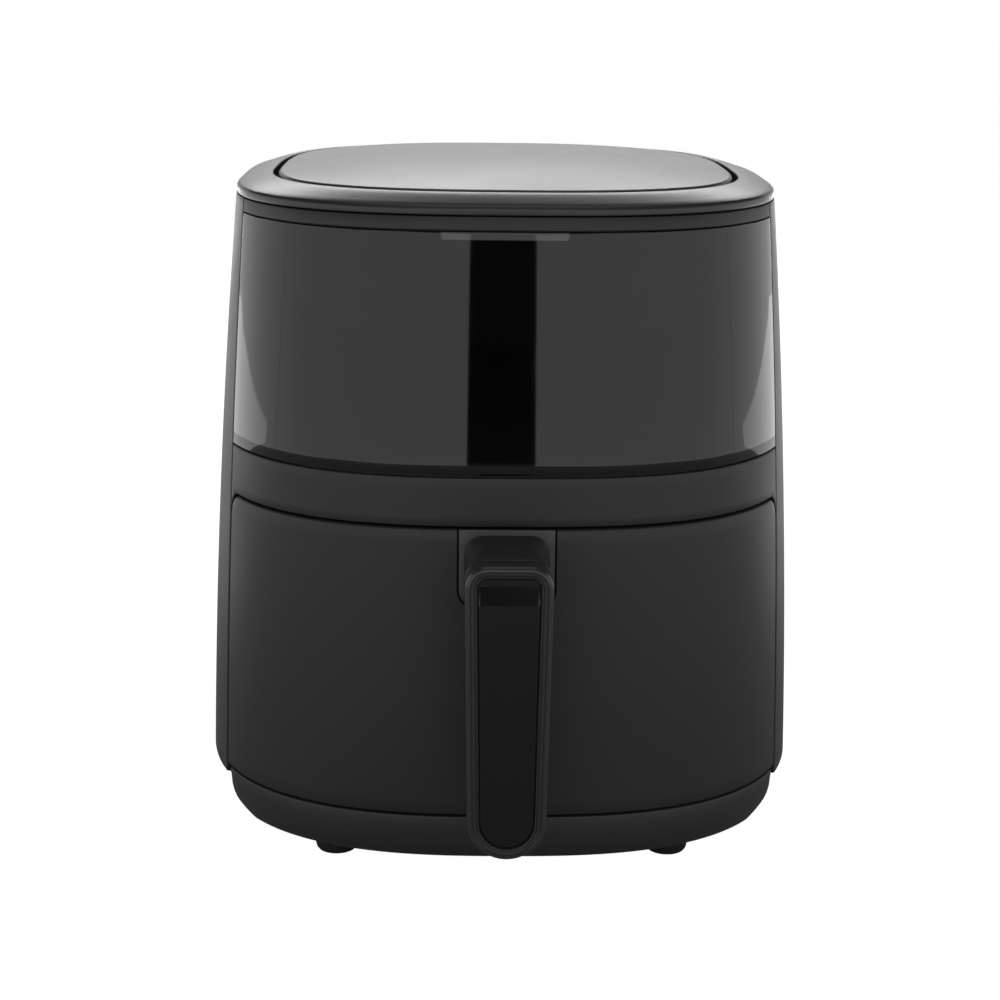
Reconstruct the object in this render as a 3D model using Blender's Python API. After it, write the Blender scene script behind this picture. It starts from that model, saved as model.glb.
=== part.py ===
"""Drawer air fryer of the five litre class, in metres, +Z up, the front facing -Y.

Every cross-section of the body is a superellipse whose half-widths shrink with height. Walls,
seams and fitted parts all take their places from body_point(), so a change of one size carries
through. Each object is one physical piece.
"""

import math

import bmesh
import bpy
from mathutils import Vector

# ---- Body shape ----
BODY_WIDTH = 0.280
FRONT_DEPTH = 0.1425  # from the widest section forward
REAR_DEPTH = 0.166
FRONT_POWER = 2.68  # exponents of the superellipse, 2 would be an ellipse
REAR_POWER = 3.2
WIDEST_HEIGHT = 0.022
SIDE_LEAN = 0.0225  # inward lean of the sides, metres per metre
SIDE_BOW = 0.1245  # inward bow of the sides, metres per square metre
SEAM_SETBACK = 0.063  # from the front face back to the seam of the rear shell
SEAM_GAP = 0.0008
SHELL_WALL = 0.0025
FRAME_WALL = 0.0045
FIT_GAP = 0.0003  # between pieces that rest on each other

# ---- Heights, stacked from the table up ----
FOOT_HEIGHT = 0.0100
BASE_HEIGHT = 0.0223
DRAWER_GAP = 0.0010
DRAWER_HEIGHT = 0.1283
BAND_HEIGHT = 0.0212
PANEL_HEIGHT = 0.1041
TOP_STRIP_HEIGHT = 0.0057
CAP_GAP = 0.0006
CAP_EDGE_HEIGHT = 0.0040
CAP_RISE = 0.0040  # from the outer edge of the ring up to the edge of its recess
INSERT_RISE = 0.0004  # of the lid plate above the ring
INSERT_CROWN = 0.0066
CROWN_POWER = 2.2  # the higher, the flatter the middle of the lid plate

BASE_Z = FOOT_HEIGHT
BASE_TOP = BASE_Z + BASE_HEIGHT
DRAWER_BOTTOM = BASE_TOP + DRAWER_GAP
DRAWER_TOP = DRAWER_BOTTOM + DRAWER_HEIGHT
BAND_BOTTOM = DRAWER_TOP + DRAWER_GAP
PANEL_BOTTOM = BAND_BOTTOM + BAND_HEIGHT
PANEL_TOP = PANEL_BOTTOM + PANEL_HEIGHT
FRAME_TOP = PANEL_TOP + TOP_STRIP_HEIGHT
CAP_BOTTOM = FRAME_TOP + CAP_GAP
CAP_EDGE = CAP_BOTTOM + CAP_EDGE_HEIGHT
CAP_CREST = CAP_EDGE + CAP_RISE
INSERT_EDGE = CAP_CREST + INSERT_RISE
SHELL_LIP = 0.004  # the rear shell overlaps the wall of the base by this
SHELL_BOTTOM = BASE_TOP - SHELL_LIP

# ---- Top ----
RING_WIDTH = 0.0160
INTAKE_GAP = 0.0026
INSERT_WALL = 0.002
RECESS_DEPTH = 0.008
INTAKE_SLOTS = 20
INTAKE_SLOT_LENGTH = 0.016
INTAKE_SLOT_WIDTH = 0.004
GRILLE_PLATE = 0.0016
LEG_RADIUS = 0.004
LEG_INSET = 0.030

# ---- Base ----
BASE_WALL = 0.0025
BASE_CLEARANCE = 0.0007  # between the base and the inside of the rear shell
BASE_INSET = SHELL_WALL + BASE_CLEARANCE
BASE_ROUNDING = 0.014  # how far the rounding of the bowl reaches inwards
BASE_STEP_WIDTH = 0.005  # in front of each seam, where the base steps inwards
FOOT_RADIUS = 0.0098
FOOT_X = 0.0758
FOOT_Y = 0.101
FOOT_EDGE = 0.003
BASE_SCREW_X = 0.088
BASE_SCREW_Y = 0.072
RAIL_X = 0.070
RAIL_WIDTH = 0.008
RAIL_LENGTH = 0.190
BAY_FLOOR_MARGIN = 0.0025
POST_RADIUS = 0.006

# ---- Front ----
PANEL_THICKNESS = 0.002
PANEL_LOWER_GAP = 0.0009
PANEL_UPPER_GAP = 0.0005
CORNER_RADIUS = 0.0075  # upper corners of the drawer front
BOARD_THICKNESS = 0.0016
CONTROL_BOARD_WIDTH = 0.140
CONTROL_BOARD_HEIGHT = 0.055
CONTROL_BOARD_GAP = 0.0025  # behind the wall of the front frame

# ---- Cooking chamber ----
SHEET = 0.0012  # sheet metal
LINER_CLEARANCE = 0.0043
LINER_POWER = 3.6
LINER_EXTRA_DEPTH = 0.005  # its half depth over its half width
PAN_CLEARANCE = 0.0048  # from the rim of the pan to the liner, each side
PAN_POWER = 3.4
PAN_WALL = 0.0014
PAN_RIM = 0.004
PAN_DRAFT = 0.006
PAN_ROUNDING = 0.012
PAN_RIM_DROP = 0.0115  # below the top of the drawer front
PAN_FLOAT = 0.0033  # above the front lip of the base
PLATE_STAND = 0.012
PLATE_THICKNESS = 0.0015
PLATE_MARGIN = 0.0035
PLATE_HOLE_RADIUS = 0.0042
PLATE_HOLE_PITCH = 0.026

# ---- Heater and air ----
DOME_FLANGE = 0.0055
DOME_HEIGHT = 0.040
HEATER_TURNS = 2
HEATER_PITCH = 0.011
HEATER_TUBE = 0.0033
HEATER_DROP = 0.008  # above the deck
FAN_RADIUS = 0.052
FAN_CLEARANCE = 0.008  # from the blades to the middle of the heater's inner turn
HEATER_INNER_RADIUS = FAN_RADIUS + FAN_CLEARANCE
HEATER_OUTER_RADIUS = HEATER_INNER_RADIUS + HEATER_TURNS * HEATER_PITCH
DOME_CLEARANCE = 0.008  # from the middle of the heater's outer turn to the dome
DOME_RADIUS = HEATER_OUTER_RADIUS + DOME_CLEARANCE
DOME_REACH = DOME_RADIUS + DOME_FLANGE
FAN_HEIGHT = 0.015
FAN_BLADES = 9
NUT_RADIUS = 0.0058
NUT_HEIGHT = 0.005
VENT_WIDTH = 0.090
VENT_HEIGHT = 0.048
VENT_SLOTS = 7
VENT_RISE = 0.016  # lower edge of the vent above the deck
DUCT_DEPTH = 0.019
DUCT_CLEARANCE = 0.0045  # behind the flange of the dome
DUCT_SETBACK = DOME_REACH + DUCT_CLEARANCE

PROBE_ANGLE = -45.0
PROBE_CLEARANCE = 0.0105  # from the flange of the dome
PROBE_DISTANCE = DOME_REACH + PROBE_CLEARANCE
PROBE_RADIUS = 0.0025
PROBE_DROP = 0.008

# ---- Motor ----
SHAFT_RADIUS = 0.003
ROTOR_RADIUS = 0.0155
STATOR_BORE = 0.016
STATOR_WIDTH = 0.058
STATOR_HEIGHT = 0.024
BEARING_RADIUS = 0.006
BEARING_HEIGHT = 0.008
MOTOR_PLATE_LENGTH = 0.100
MOTOR_PLATE_WIDTH = 0.058
COOLING_FAN_RADIUS = 0.044
COOLING_FAN_HEIGHT = 0.013
COOLING_FAN_BLADES = 7

# ---- Handle ----
HANDLE_REACH = 0.0475  # from the front of the body to the front of the grip
HANDLE_LENGTH = 0.1277
HANDLE_DROP = 0.0012  # below the top of the drawer front
HANDLE_WIDTH = 0.0365
HANDLE_END_WIDTH = 0.0334
HANDLE_CORNER = 0.0095
GRIP_DEPTH = 0.020
GRIP_FRONT_DEPTH = 0.010
HANDLE_RIM = 0.0048
INSERT_DEPTH = 0.0025
NECK_WIDTH = 0.0336
NECK_HEIGHT = 0.0298
NECK_DROP = 0.002  # below the top of the grip
NOTCH_WIDTH = 0.0428
NOTCH_HEIGHT = 0.0347
NOTCH_CORNER = 0.008
NOTCH_GAP = 0.0008
MOUNT_PLATE = 0.0032
BOSS_RADIUS = 0.005
SCREW_RADIUS = 0.0017
SCREW_HEAD_RADIUS = 0.0036
SCREW_HEAD_HEIGHT = 0.002
SCREW_LENGTH = 0.012
INNER_PANEL_SETBACK = 0.0275
INNER_PANEL_LIFT = 0.003
INNER_PANEL_THICKNESS = 0.002

# ---- Rear ----
GLAND_RADIUS = 0.0065
GLAND_BORE = 0.0037
GLAND_FLANGE = 0.0095
GLAND_X = 0.075
GLAND_HEIGHT = 0.050
GLAND_FLANGE_THICKNESS = 0.0025
GLAND_LENGTH = 0.014

# ---- Switch ----
SWITCH_X = 0.055
SWITCH_SIZE = (0.020, 0.0065, 0.010)
PLUNGER_RADIUS = 0.0015

# ---- Facets ----
AROUND = 48  # stations round the whole body
FRONT_STATIONS = 22
SHELL_STATIONS = 34
ROUND_SIDES = 20


def half_width(z):
    rise = max(z - WIDEST_HEIGHT, 0.0)
    return BODY_WIDTH / 2 - SIDE_LEAN * rise - SIDE_BOW * rise * rise


def half_depth(z):
    """Depth of the front half."""
    return half_width(z) + FRONT_DEPTH - BODY_WIDTH / 2


def rear_depth(z):
    return half_width(z) + REAR_DEPTH - BODY_WIDTH / 2


def superellipse(angle, across, along, power):
    """Point of the superellipse in the direction of angle."""
    c, s = math.cos(angle), math.sin(angle)
    radius = (abs(c / across) ** power + abs(s / along) ** power) ** (-1 / power)
    return radius * c, radius * s


def body_point(angle, z, inset=0.0):
    """Point on the body's outer surface, moved inwards by inset."""
    if math.sin(angle) < 0:
        x, y = superellipse(angle, half_width(z) - inset, half_depth(z) - inset, FRONT_POWER)
    else:
        x, y = superellipse(angle, half_width(z) - inset, rear_depth(z) - inset, REAR_POWER)
    return Vector((x, y, z))


def front_y(x, z, inset=0.0):
    """The y of the body's front surface at x and z."""
    across, along = half_width(z) - inset, half_depth(z) - inset
    return -along * (1 - (abs(x) / across) ** FRONT_POWER) ** (1 / FRONT_POWER)


def rear_y(x, z):
    return rear_depth(z) * (1 - (abs(x) / half_width(z)) ** REAR_POWER) ** (1 / REAR_POWER)


def seam_x(z):
    """Half the opening between the front edges of the rear shell."""
    share = (half_depth(z) - SEAM_SETBACK) / half_depth(z)
    return half_width(z) * (1 - share**FRONT_POWER) ** (1 / FRONT_POWER)


def seam_angle(z):
    """Angle of the right-hand seam below the x axis."""
    return math.atan2(half_depth(z) - SEAM_SETBACK, seam_x(z))


def spread(low, high, count):
    return [low + (high - low) * i / (count - 1) for i in range(count)]


# ---- Mesh helpers ----
def finish_mesh(name, bm, material, parent, smooth=40):
    bmesh.ops.recalc_face_normals(bm, faces=bm.faces)
    mesh = bpy.data.meshes.new(name)
    bm.to_mesh(mesh)
    bm.free()
    mesh.shade_smooth()
    mesh.set_sharp_from_angle(angle=math.radians(smooth))
    piece = bpy.data.objects.new(name, mesh)
    bpy.context.scene.collection.objects.link(piece)
    piece.data.materials.append(material)
    piece.parent = parent
    return piece


def loft(name, loops, material, parent, closed=False):
    """One solid through closed loops of points. A closed loft joins its last loop to its first."""
    bm = bmesh.new()
    rings = [[bm.verts.new(point) for point in loop] for loop in loops]
    pairs = list(zip(rings, rings[1:]))
    if closed:
        pairs.append((rings[-1], rings[0]))
    else:
        bm.faces.new(rings[0])
        bm.faces.new(rings[-1])
    for first, second in pairs:
        for i in range(len(first)):
            bm.faces.new((first[i - 1], first[i], second[i], second[i - 1]))
    return finish_mesh(name, bm, material, parent)


def box(name, low, high, material, parent):
    bm = bmesh.new()
    bmesh.ops.create_cube(bm, size=1.0)
    low, high = Vector(low), Vector(high)
    for vert in bm.verts:
        vert.co = (low + high) / 2 + Vector(a * b for a, b in zip(vert.co, high - low))
    return finish_mesh(name, bm, material, parent)


def circle(radius, z, centre=(0.0, 0.0), sides=ROUND_SIDES):
    turns = [2 * math.pi * i / sides for i in range(sides)]
    return [(centre[0] + radius * math.cos(t), centre[1] + radius * math.sin(t), z) for t in turns]


def turned(name, profile, material, parent, centre=(0.0, 0.0), sides=ROUND_SIDES, hollow=False):
    """A turned piece from (radius, z) pairs. A hollow one has a closed profile clear of the axis."""
    loops = [circle(radius, z, centre, sides) for radius, z in profile]
    return loft(name, loops, material, parent, closed=hollow)


def along_y(name, profile, x, z, material, parent, sides=16, hollow=False):
    """A turned piece lying along y, from (radius, y) pairs."""
    turns = [2 * math.pi * i / sides for i in range(sides)]
    loops = [
        [(x + radius * math.cos(t), y, z + radius * math.sin(t)) for t in turns]
        for radius, y in profile
    ]
    return loft(name, loops, material, parent, closed=hollow)


def combine(target, tool, operation):
    """Applies a Boolean to target and removes the tool."""
    modifier = target.modifiers.new(operation.title(), "BOOLEAN")
    modifier.operation = operation
    modifier.solver = "EXACT"
    modifier.object = tool
    bpy.context.view_layer.update()
    with bpy.context.temp_override(object=target, active_object=target):
        bpy.ops.object.modifier_apply(modifier=modifier.name)
    bpy.data.objects.remove(tool)
    return target


def cut(target, tool):
    return combine(target, tool, "DIFFERENCE")


def join(target, tool):
    return combine(target, tool, "UNION")


def material(name, colour, roughness, metallic=0.0):
    made = bpy.data.materials.new(name)
    made.use_nodes = True
    shader = made.node_tree.nodes["Principled BSDF"]
    shader.inputs["Base Color"].default_value = (*colour, 1.0)
    shader.inputs["Roughness"].default_value = roughness
    shader.inputs["Metallic"].default_value = metallic
    made.diffuse_color = (*colour, 1.0)
    return made


def body_empty(name, parent=None):
    empty = bpy.data.objects.new(name, None)
    bpy.context.scene.collection.objects.link(empty)
    empty.parent = parent
    return empty


# ---- Walls that follow the body ----
def end_distances():
    """Distances from a seam at which the rounded corners need stations."""
    return [CORNER_RADIUS * share for share in (0.0, 0.05, 0.16, 0.36, 0.66, 1.0)]


def front_point(side_distance, share, z, inset):
    """Point of the front wall. share runs from 0 at the left seam to 1 at the right one, and
    side_distance keeps it that far from the seams, along the surface."""
    seam = seam_angle(z)
    margin = side_distance / math.hypot(seam_x(z), half_depth(z) - SEAM_SETBACK)
    first, last = -math.pi + seam + margin, -seam - margin
    return body_point(first + (last - first) * share, z, inset)


def front_wall(name, section, material_, parent, side_gap=SEAM_GAP / 2, corner_stations=False):
    """A wall from seam to seam. section(d) gives (inset, z) pairs at d from the wall's end."""
    length = math.pi * half_width(BAND_BOTTOM) * 0.8
    inner = spread(CORNER_RADIUS / length, 1 - CORNER_RADIUS / length, FRONT_STATIONS)
    ends = [d / length for d in end_distances()[:-1]] if corner_stations else [0.0]
    shares = ends + inner + [1 - share for share in reversed(ends)]
    loops = []
    for share in shares:
        distance = min(share, 1 - share) * length
        loops.append(
            [front_point(side_gap, share, z, inset) for inset, z in section(distance)]
        )
    return loft(name, loops, material_, parent)


def corner_drop(distance, radius=CORNER_RADIUS):
    """How far a rounded corner has dropped at a distance from its end."""
    if distance >= radius:
        return 0.0
    return radius - math.sqrt(radius**2 - (radius - distance) ** 2)


def full_ring(name, section, material_, parent, sides=AROUND):
    """A ring round the body. section is a closed list of (inset, z) pairs."""
    loops = []
    for i in range(sides):
        angle = 2 * math.pi * i / sides
        loops.append([body_point(angle, z, inset) for inset, z in section])
    return loft(name, loops, material_, parent, closed=True)


def body_outline(z, inset, sides=AROUND):
    return [body_point(2 * math.pi * i / sides, z, inset) for i in range(sides)]


def rounded_outline(across, along, power, z, sides=AROUND):
    points = [superellipse(2 * math.pi * i / sides, across, along, power) for i in range(sides)]
    return [(x, y, z) for x, y in points]


def body_patch(name, insets, half_angle, low_z, high_z, material_, parent):
    """A patch of wall on the back, between two angles either side of it."""
    loops = []
    for angle in spread(math.pi / 2 - half_angle, math.pi / 2 + half_angle, 9):
        outer = [body_point(angle, z, insets[0]) for z in spread(low_z, high_z, 4)]
        inner = [body_point(angle, z, insets[1]) for z in spread(high_z, low_z, 4)]
        loops.append(outer + inner)
    return loft(name, loops, material_, parent)


# ---- Housing ----
def rear_shell(parent):
    levels = spread(SHELL_BOTTOM, FRAME_TOP, 6)
    loops = []
    for share in spread(0.0, 1.0, SHELL_STATIONS):
        loop = []
        for inset, heights in ((0.0, levels), (SHELL_WALL, levels[::-1])):
            for z in heights:
                seam = seam_angle(z)
                gap = SEAM_GAP / 2 / math.hypot(seam_x(z), half_depth(z) - SEAM_SETBACK)
                angle = -seam + gap + (math.pi + 2 * seam - 2 * gap) * share
                loop.append(body_point(angle, z, inset))
        loops.append(loop)
    shell = loft("rear_shell", loops, MATT_PLASTIC, parent)
    spare = 0.004
    opening = body_patch(
        "vent_cutter", (-spare, SHELL_WALL + spare), vent_half_angle(FIT_GAP),
        VENT_Z - FIT_GAP, VENT_Z + VENT_HEIGHT + FIT_GAP, MATT_PLASTIC, parent,
    )
    cut(shell, opening)
    y = rear_y(GLAND_X, GLAND_HEIGHT)
    hole = along_y(
        "gland_cutter", [(GLAND_RADIUS + FIT_GAP, y - 0.02), (GLAND_RADIUS + FIT_GAP, y + 0.02)],
        GLAND_X, GLAND_HEIGHT, MATT_PLASTIC, parent,
    )
    return cut(shell, hole)


def front_frame(parent):
    recess = PANEL_THICKNESS + FIT_GAP

    def section(distance):
        return [
            (0.0, BAND_BOTTOM - corner_drop(distance)),
            (0.0, PANEL_BOTTOM),
            (recess, PANEL_BOTTOM),
            (recess, (PANEL_BOTTOM + PANEL_TOP) / 2),
            (recess, PANEL_TOP),
            (0.0, PANEL_TOP),
            (0.0, FRAME_TOP),
            (FRAME_WALL, FRAME_TOP),
            (FRAME_WALL, (PANEL_BOTTOM + PANEL_TOP) / 2),
            (FRAME_WALL, PANEL_BOTTOM),
            (FRAME_WALL, BAND_BOTTOM - corner_drop(distance)),
        ]

    return front_wall("front_frame", section, MATT_PLASTIC, parent, corner_stations=True)


def touch_panel(parent):
    low, high = PANEL_BOTTOM + PANEL_LOWER_GAP, PANEL_TOP - PANEL_UPPER_GAP
    levels = spread(low, high, 4)

    def section(distance):
        outer = [(0.0, z) for z in levels]
        return outer + [(PANEL_THICKNESS, z) for z in reversed(levels)]

    return front_wall("touch_panel", section, GLOSS_PLASTIC, parent)


def control_board(parent):
    middle = (PANEL_BOTTOM + PANEL_TOP) / 2
    across, up = CONTROL_BOARD_WIDTH / 2, CONTROL_BOARD_HEIGHT / 2
    y = front_y(across, middle + up, FRAME_WALL) + CONTROL_BOARD_GAP
    return box(
        "control_board", (-across, y, middle - up), (across, y + BOARD_THICKNESS, middle + up),
        BOARD, parent,
    )


def top_ring(parent):
    wall = SHELL_WALL
    recess_floor = CAP_CREST - RECESS_DEPTH
    section = [
        (0.0, CAP_BOTTOM),
        (0.0, CAP_EDGE - 0.0020),
        (0.0007, CAP_EDGE - 0.0007),
        (0.0022, CAP_EDGE + 0.0002),
        (RING_WIDTH - 0.001, CAP_CREST),
        (RING_WIDTH, CAP_CREST - 0.0008),
        (RING_WIDTH, recess_floor),
        (RING_WIDTH + wall, recess_floor),
        (RING_WIDTH + wall, recess_floor - wall),
        (RING_WIDTH - wall, recess_floor - wall),
        (RING_WIDTH - wall, CAP_EDGE - wall + 0.001),
        (wall + 0.001, CAP_EDGE - wall),
        (wall, CAP_BOTTOM),
    ]
    return full_ring("top_ring", section, SATIN_PLASTIC, parent)


def intake_grille(parent):
    """Slotted plate in the recess of the ring, under the lid plate."""
    floor = CAP_CREST - RECESS_DEPTH
    inset = RING_WIDTH + SHELL_WALL + FIT_GAP
    plate = loft(
        "intake_grille",
        [body_outline(floor - GRILLE_PLATE, inset), body_outline(floor, inset)],
        MATT_PLASTIC, parent,
    )
    for i in range(INTAKE_SLOTS):
        angle = 2 * math.pi * (i + 0.5) / INTAKE_SLOTS
        middle = body_point(angle, floor, inset + INTAKE_SLOT_LENGTH)
        slot = box(
            "slot",
            (-INTAKE_SLOT_LENGTH / 2, -INTAKE_SLOT_WIDTH / 2, -0.01),
            (INTAKE_SLOT_LENGTH / 2, INTAKE_SLOT_WIDTH / 2, 0.01),
            MATT_PLASTIC, parent,
        )
        slot.location = middle
        slot.rotation_euler.z = angle
        cut(plate, slot)
    return plate


def insert_height(distance):
    """Height of the lid plate at a distance inwards from its edge."""
    share = min(distance / (half_width(INSERT_EDGE) - RING_WIDTH - INTAKE_GAP), 1.0)
    return INSERT_EDGE + INSERT_CROWN * (1 - (1 - share) ** CROWN_POWER)


def top_insert(parent):
    """Crowned lid plate on four legs, with the intake gap all round it."""
    inset = RING_WIDTH + INTAKE_GAP
    floor = CAP_CREST - RECESS_DEPTH
    skirt = floor + 0.003
    steps = (0.0012, 0.012, 0.034, 0.062, 0.090)
    outer = [body_outline(insert_height(step), inset + step) for step in steps]
    inner = [
        body_outline(insert_height(step) - INSERT_WALL, inset + step)
        for step in (steps[0] + INSERT_WALL,) + steps[1:]
    ]
    edge = [body_outline(z, inset) for z in (skirt, INSERT_EDGE - 0.0012)]
    insert = loft("top_insert", outer[::-1] + edge[::-1] + [body_outline(skirt, inset + INSERT_WALL)]
                  + inner, SATIN_PLASTIC, parent)
    for side_x in (-1, 1):
        for side_y in (-1, 1):
            corner = body_point(math.atan2(side_y, side_x), INSERT_EDGE, inset + LEG_INSET)
            top = insert_height(LEG_INSET) - INSERT_WALL / 2
            leg = turned(
                "leg", [(LEG_RADIUS, floor + FIT_GAP), (LEG_RADIUS, top)],
                SATIN_PLASTIC, parent, corner.xy, sides=12,
            )
            join(insert, leg)
    return insert


def base_stations():
    """(angle, inset) round the base: flush with the drawer in front, set inside the rear shell."""
    seam = seam_angle(SHELL_BOTTOM)
    step = BASE_STEP_WIDTH / half_width(SHELL_BOTTOM)
    front = spread(-math.pi + seam + step, -seam - step, FRONT_STATIONS)
    behind = spread(-seam, math.pi + seam, AROUND - FRONT_STATIONS)
    return [(angle, 0.0) for angle in front] + [(angle, BASE_INSET) for angle in behind]


def base_shell(parent):
    wall = BASE_WALL
    section = [  # (inset, height above the underside), outside then inside
        (BASE_ROUNDING, 0.0),
        (BASE_ROUNDING * 0.55, 0.0006),
        (BASE_ROUNDING * 0.28, 0.0028),
        (BASE_ROUNDING * 0.11, 0.0068),
        (BASE_ROUNDING * 0.03, 0.0120),
        (0.0, BASE_HEIGHT),
        (wall, BASE_HEIGHT),
        (wall + BASE_ROUNDING * 0.03, 0.0120),
        (wall + BASE_ROUNDING * 0.16, 0.0068),
        (wall + BASE_ROUNDING * 0.45, 0.0036),
        (BASE_ROUNDING + wall, wall),
    ]
    loops = [
        [body_point(angle, BASE_Z + height, inset + extra) for angle, extra in base_stations()]
        for inset, height in section
    ]
    base = loft("base_shell", loops, MATT_PLASTIC, parent)
    post_top = BASE_TOP - SHEET - 2 * FIT_GAP
    reach = SCREW_RADIUS + FIT_GAP
    for place in base_screw_places():
        post = turned("post", [(POST_RADIUS, BASE_Z + wall / 2), (POST_RADIUS, post_top)],
                      MATT_PLASTIC, parent, place, sides=12)
        join(base, post)
        hole = turned("hole", [(reach, BASE_Z - 0.01), (reach, BASE_Z + 0.01)], MATT_PLASTIC, parent,
                      place, sides=12)
        cut(base, hole)
    return base


def base_screw_places():
    return [(x, y) for x in (-BASE_SCREW_X, BASE_SCREW_X) for y in (-BASE_SCREW_Y, BASE_SCREW_Y)]


def base_screws(parent):
    for number, (x, y) in enumerate(base_screw_places(), 1):
        head = BASE_Z - FIT_GAP
        profile = [
            (SCREW_HEAD_RADIUS * 0.8, head - SCREW_HEAD_HEIGHT),
            (SCREW_HEAD_RADIUS, head - SCREW_HEAD_HEIGHT * 0.6),
            (SCREW_HEAD_RADIUS, head),
            (SCREW_RADIUS, head),
            (SCREW_RADIUS, head + SCREW_LENGTH / 2),
        ]
        turned(f"base_screw_{number}", profile, STEEL, parent, (x, y), sides=12)


def feet(parent):
    for side, x in (("left", -FOOT_X), ("right", FOOT_X)):
        for end, y in (("front", -FOOT_Y), ("rear", FOOT_Y)):
            top = BASE_Z - FIT_GAP
            profile = [
                (FOOT_RADIUS - FOOT_EDGE, 0.0),
                (FOOT_RADIUS - FOOT_EDGE * 0.3, FOOT_EDGE * 0.3),
                (FOOT_RADIUS, FOOT_EDGE),
                (FOOT_RADIUS, top),
            ]
            turned(f"foot_{end}_{side}", profile, RUBBER, parent, (x, y))


def bay_floor(parent):
    """Sheet under the drawer, carried by the posts of the base."""
    top = BASE_TOP - FIT_GAP
    inset = BASE_WALL + BASE_INSET + BAY_FLOOR_MARGIN
    return loft(
        "bay_floor", [body_outline(z, inset) for z in (top - SHEET, top)], STEEL, parent,
    )


def rails(parent):
    for side, x in (("left", -RAIL_X), ("right", RAIL_X)):
        box(
            f"rail_{side}",
            (x - RAIL_WIDTH / 2, -RAIL_LENGTH / 2, BASE_TOP),
            (x + RAIL_WIDTH / 2, RAIL_LENGTH / 2, PAN_BOTTOM - FIT_GAP),
            MATT_PLASTIC, parent,
        )


# ---- Chamber ----
DECK_Z = BAND_BOTTOM
DECK_TOP = DECK_Z + SHEET
PAN_BOTTOM = BASE_TOP + PAN_FLOAT
PAN_TOP = DRAWER_TOP - PAN_RIM_DROP
LINER_ACROSS = seam_x(DECK_Z) - SHELL_WALL - LINER_CLEARANCE
LINER_ALONG = LINER_ACROSS + LINER_EXTRA_DEPTH
PAN_ACROSS = LINER_ACROSS - SHEET - PAN_CLEARANCE
PAN_ALONG = half_depth(DRAWER_TOP) - INNER_PANEL_SETBACK - SCREW_HEAD_HEIGHT - 4 * FIT_GAP
DOME_TOP = DECK_TOP + DOME_HEIGHT
VENT_Z = DECK_TOP + VENT_RISE


def vent_half_angle(margin):
    return math.atan2(VENT_WIDTH / 2 + margin, rear_depth(VENT_Z))


def chamber_liner(parent):
    """Straight sides and rounded back of the bay that the drawer slides in, under the deck."""
    front = half_depth(DECK_Z) - SEAM_SETBACK

    def outline(inset):
        across, along = LINER_ACROSS - inset, LINER_ALONG - inset
        back = [superellipse(angle, across, along, LINER_POWER) for angle in spread(0, math.pi, 33)]
        return [(across, -front)] + back + [(-across, -front)]

    top = DECK_Z - FIT_GAP
    loops = [
        [(*outer, BASE_TOP), (*outer, top), (*inner, top), (*inner, BASE_TOP)]
        for outer, inner in zip(outline(0.0), outline(SHEET))
    ]
    return loft("chamber_liner", loops, STEEL, parent)


def chamber_deck(parent):
    deck = loft(
        "chamber_deck",
        [body_outline(z, FRAME_WALL + 2 * FIT_GAP) for z in (DECK_Z, DECK_TOP)],
        STEEL, parent,
    )
    opening = DOME_RADIUS - 0.001
    cut(deck, turned("hole", [(opening, DECK_Z - 0.01), (opening, DECK_Z + 0.01)], STEEL, parent,
                     sides=36))
    inside = SHEET + 0.0008
    low = (-VENT_WIDTH / 2 + inside, DUCT_SETBACK + inside, DECK_Z - 0.01)
    high = (VENT_WIDTH / 2 - inside, DUCT_SETBACK + DUCT_DEPTH - inside, DECK_Z + 0.01)
    cut(deck, box("hole", low, high, STEEL, parent))
    for place, radius in (((SWITCH_X, SWITCH_Y), PLUNGER_RADIUS), (probe_place(), PROBE_RADIUS)):
        reach = radius + 0.0008
        cut(deck, turned("hole", [(reach, DECK_Z - 0.01), (reach, DECK_Z + 0.01)], STEEL, parent,
                         place, sides=12))
    return deck


def heat_dome(parent):
    foot = DECK_TOP + FIT_GAP
    bore = BEARING_RADIUS + 0.002
    profile = [
        (DOME_REACH, foot),
        (DOME_REACH, foot + SHEET),
        (DOME_RADIUS + SHEET, foot + SHEET),
        (DOME_RADIUS, DOME_TOP - 0.008),
        (DOME_RADIUS - 0.008, DOME_TOP),
        (bore, DOME_TOP),
        (bore, DOME_TOP - SHEET),
        (DOME_RADIUS - 0.0085, DOME_TOP - SHEET),
        (DOME_RADIUS - SHEET, DOME_TOP - 0.0085),
        (DOME_RADIUS, foot),
    ]
    dome = turned("heat_dome", profile, STEEL, parent, sides=36, hollow=True)
    for x, y in heater_ends():
        hole = turned(
            "hole", [(HEATER_TUBE + 0.001, DOME_TOP - 0.02), (HEATER_TUBE + 0.001, DOME_TOP + 0.01)],
            STEEL, parent, (x, y), sides=12,
        )
        cut(dome, hole)
    return dome


def heater_spiral(turn):
    """Point of the heater's spiral. turn runs from 0 inside to HEATER_TURNS outside."""
    radius = HEATER_INNER_RADIUS + HEATER_PITCH * turn
    angle = 2 * math.pi * turn + math.radians(100)
    return radius * math.cos(angle), radius * math.sin(angle)


def heater_ends():
    return [heater_spiral(0.0), heater_spiral(HEATER_TURNS)]


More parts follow.
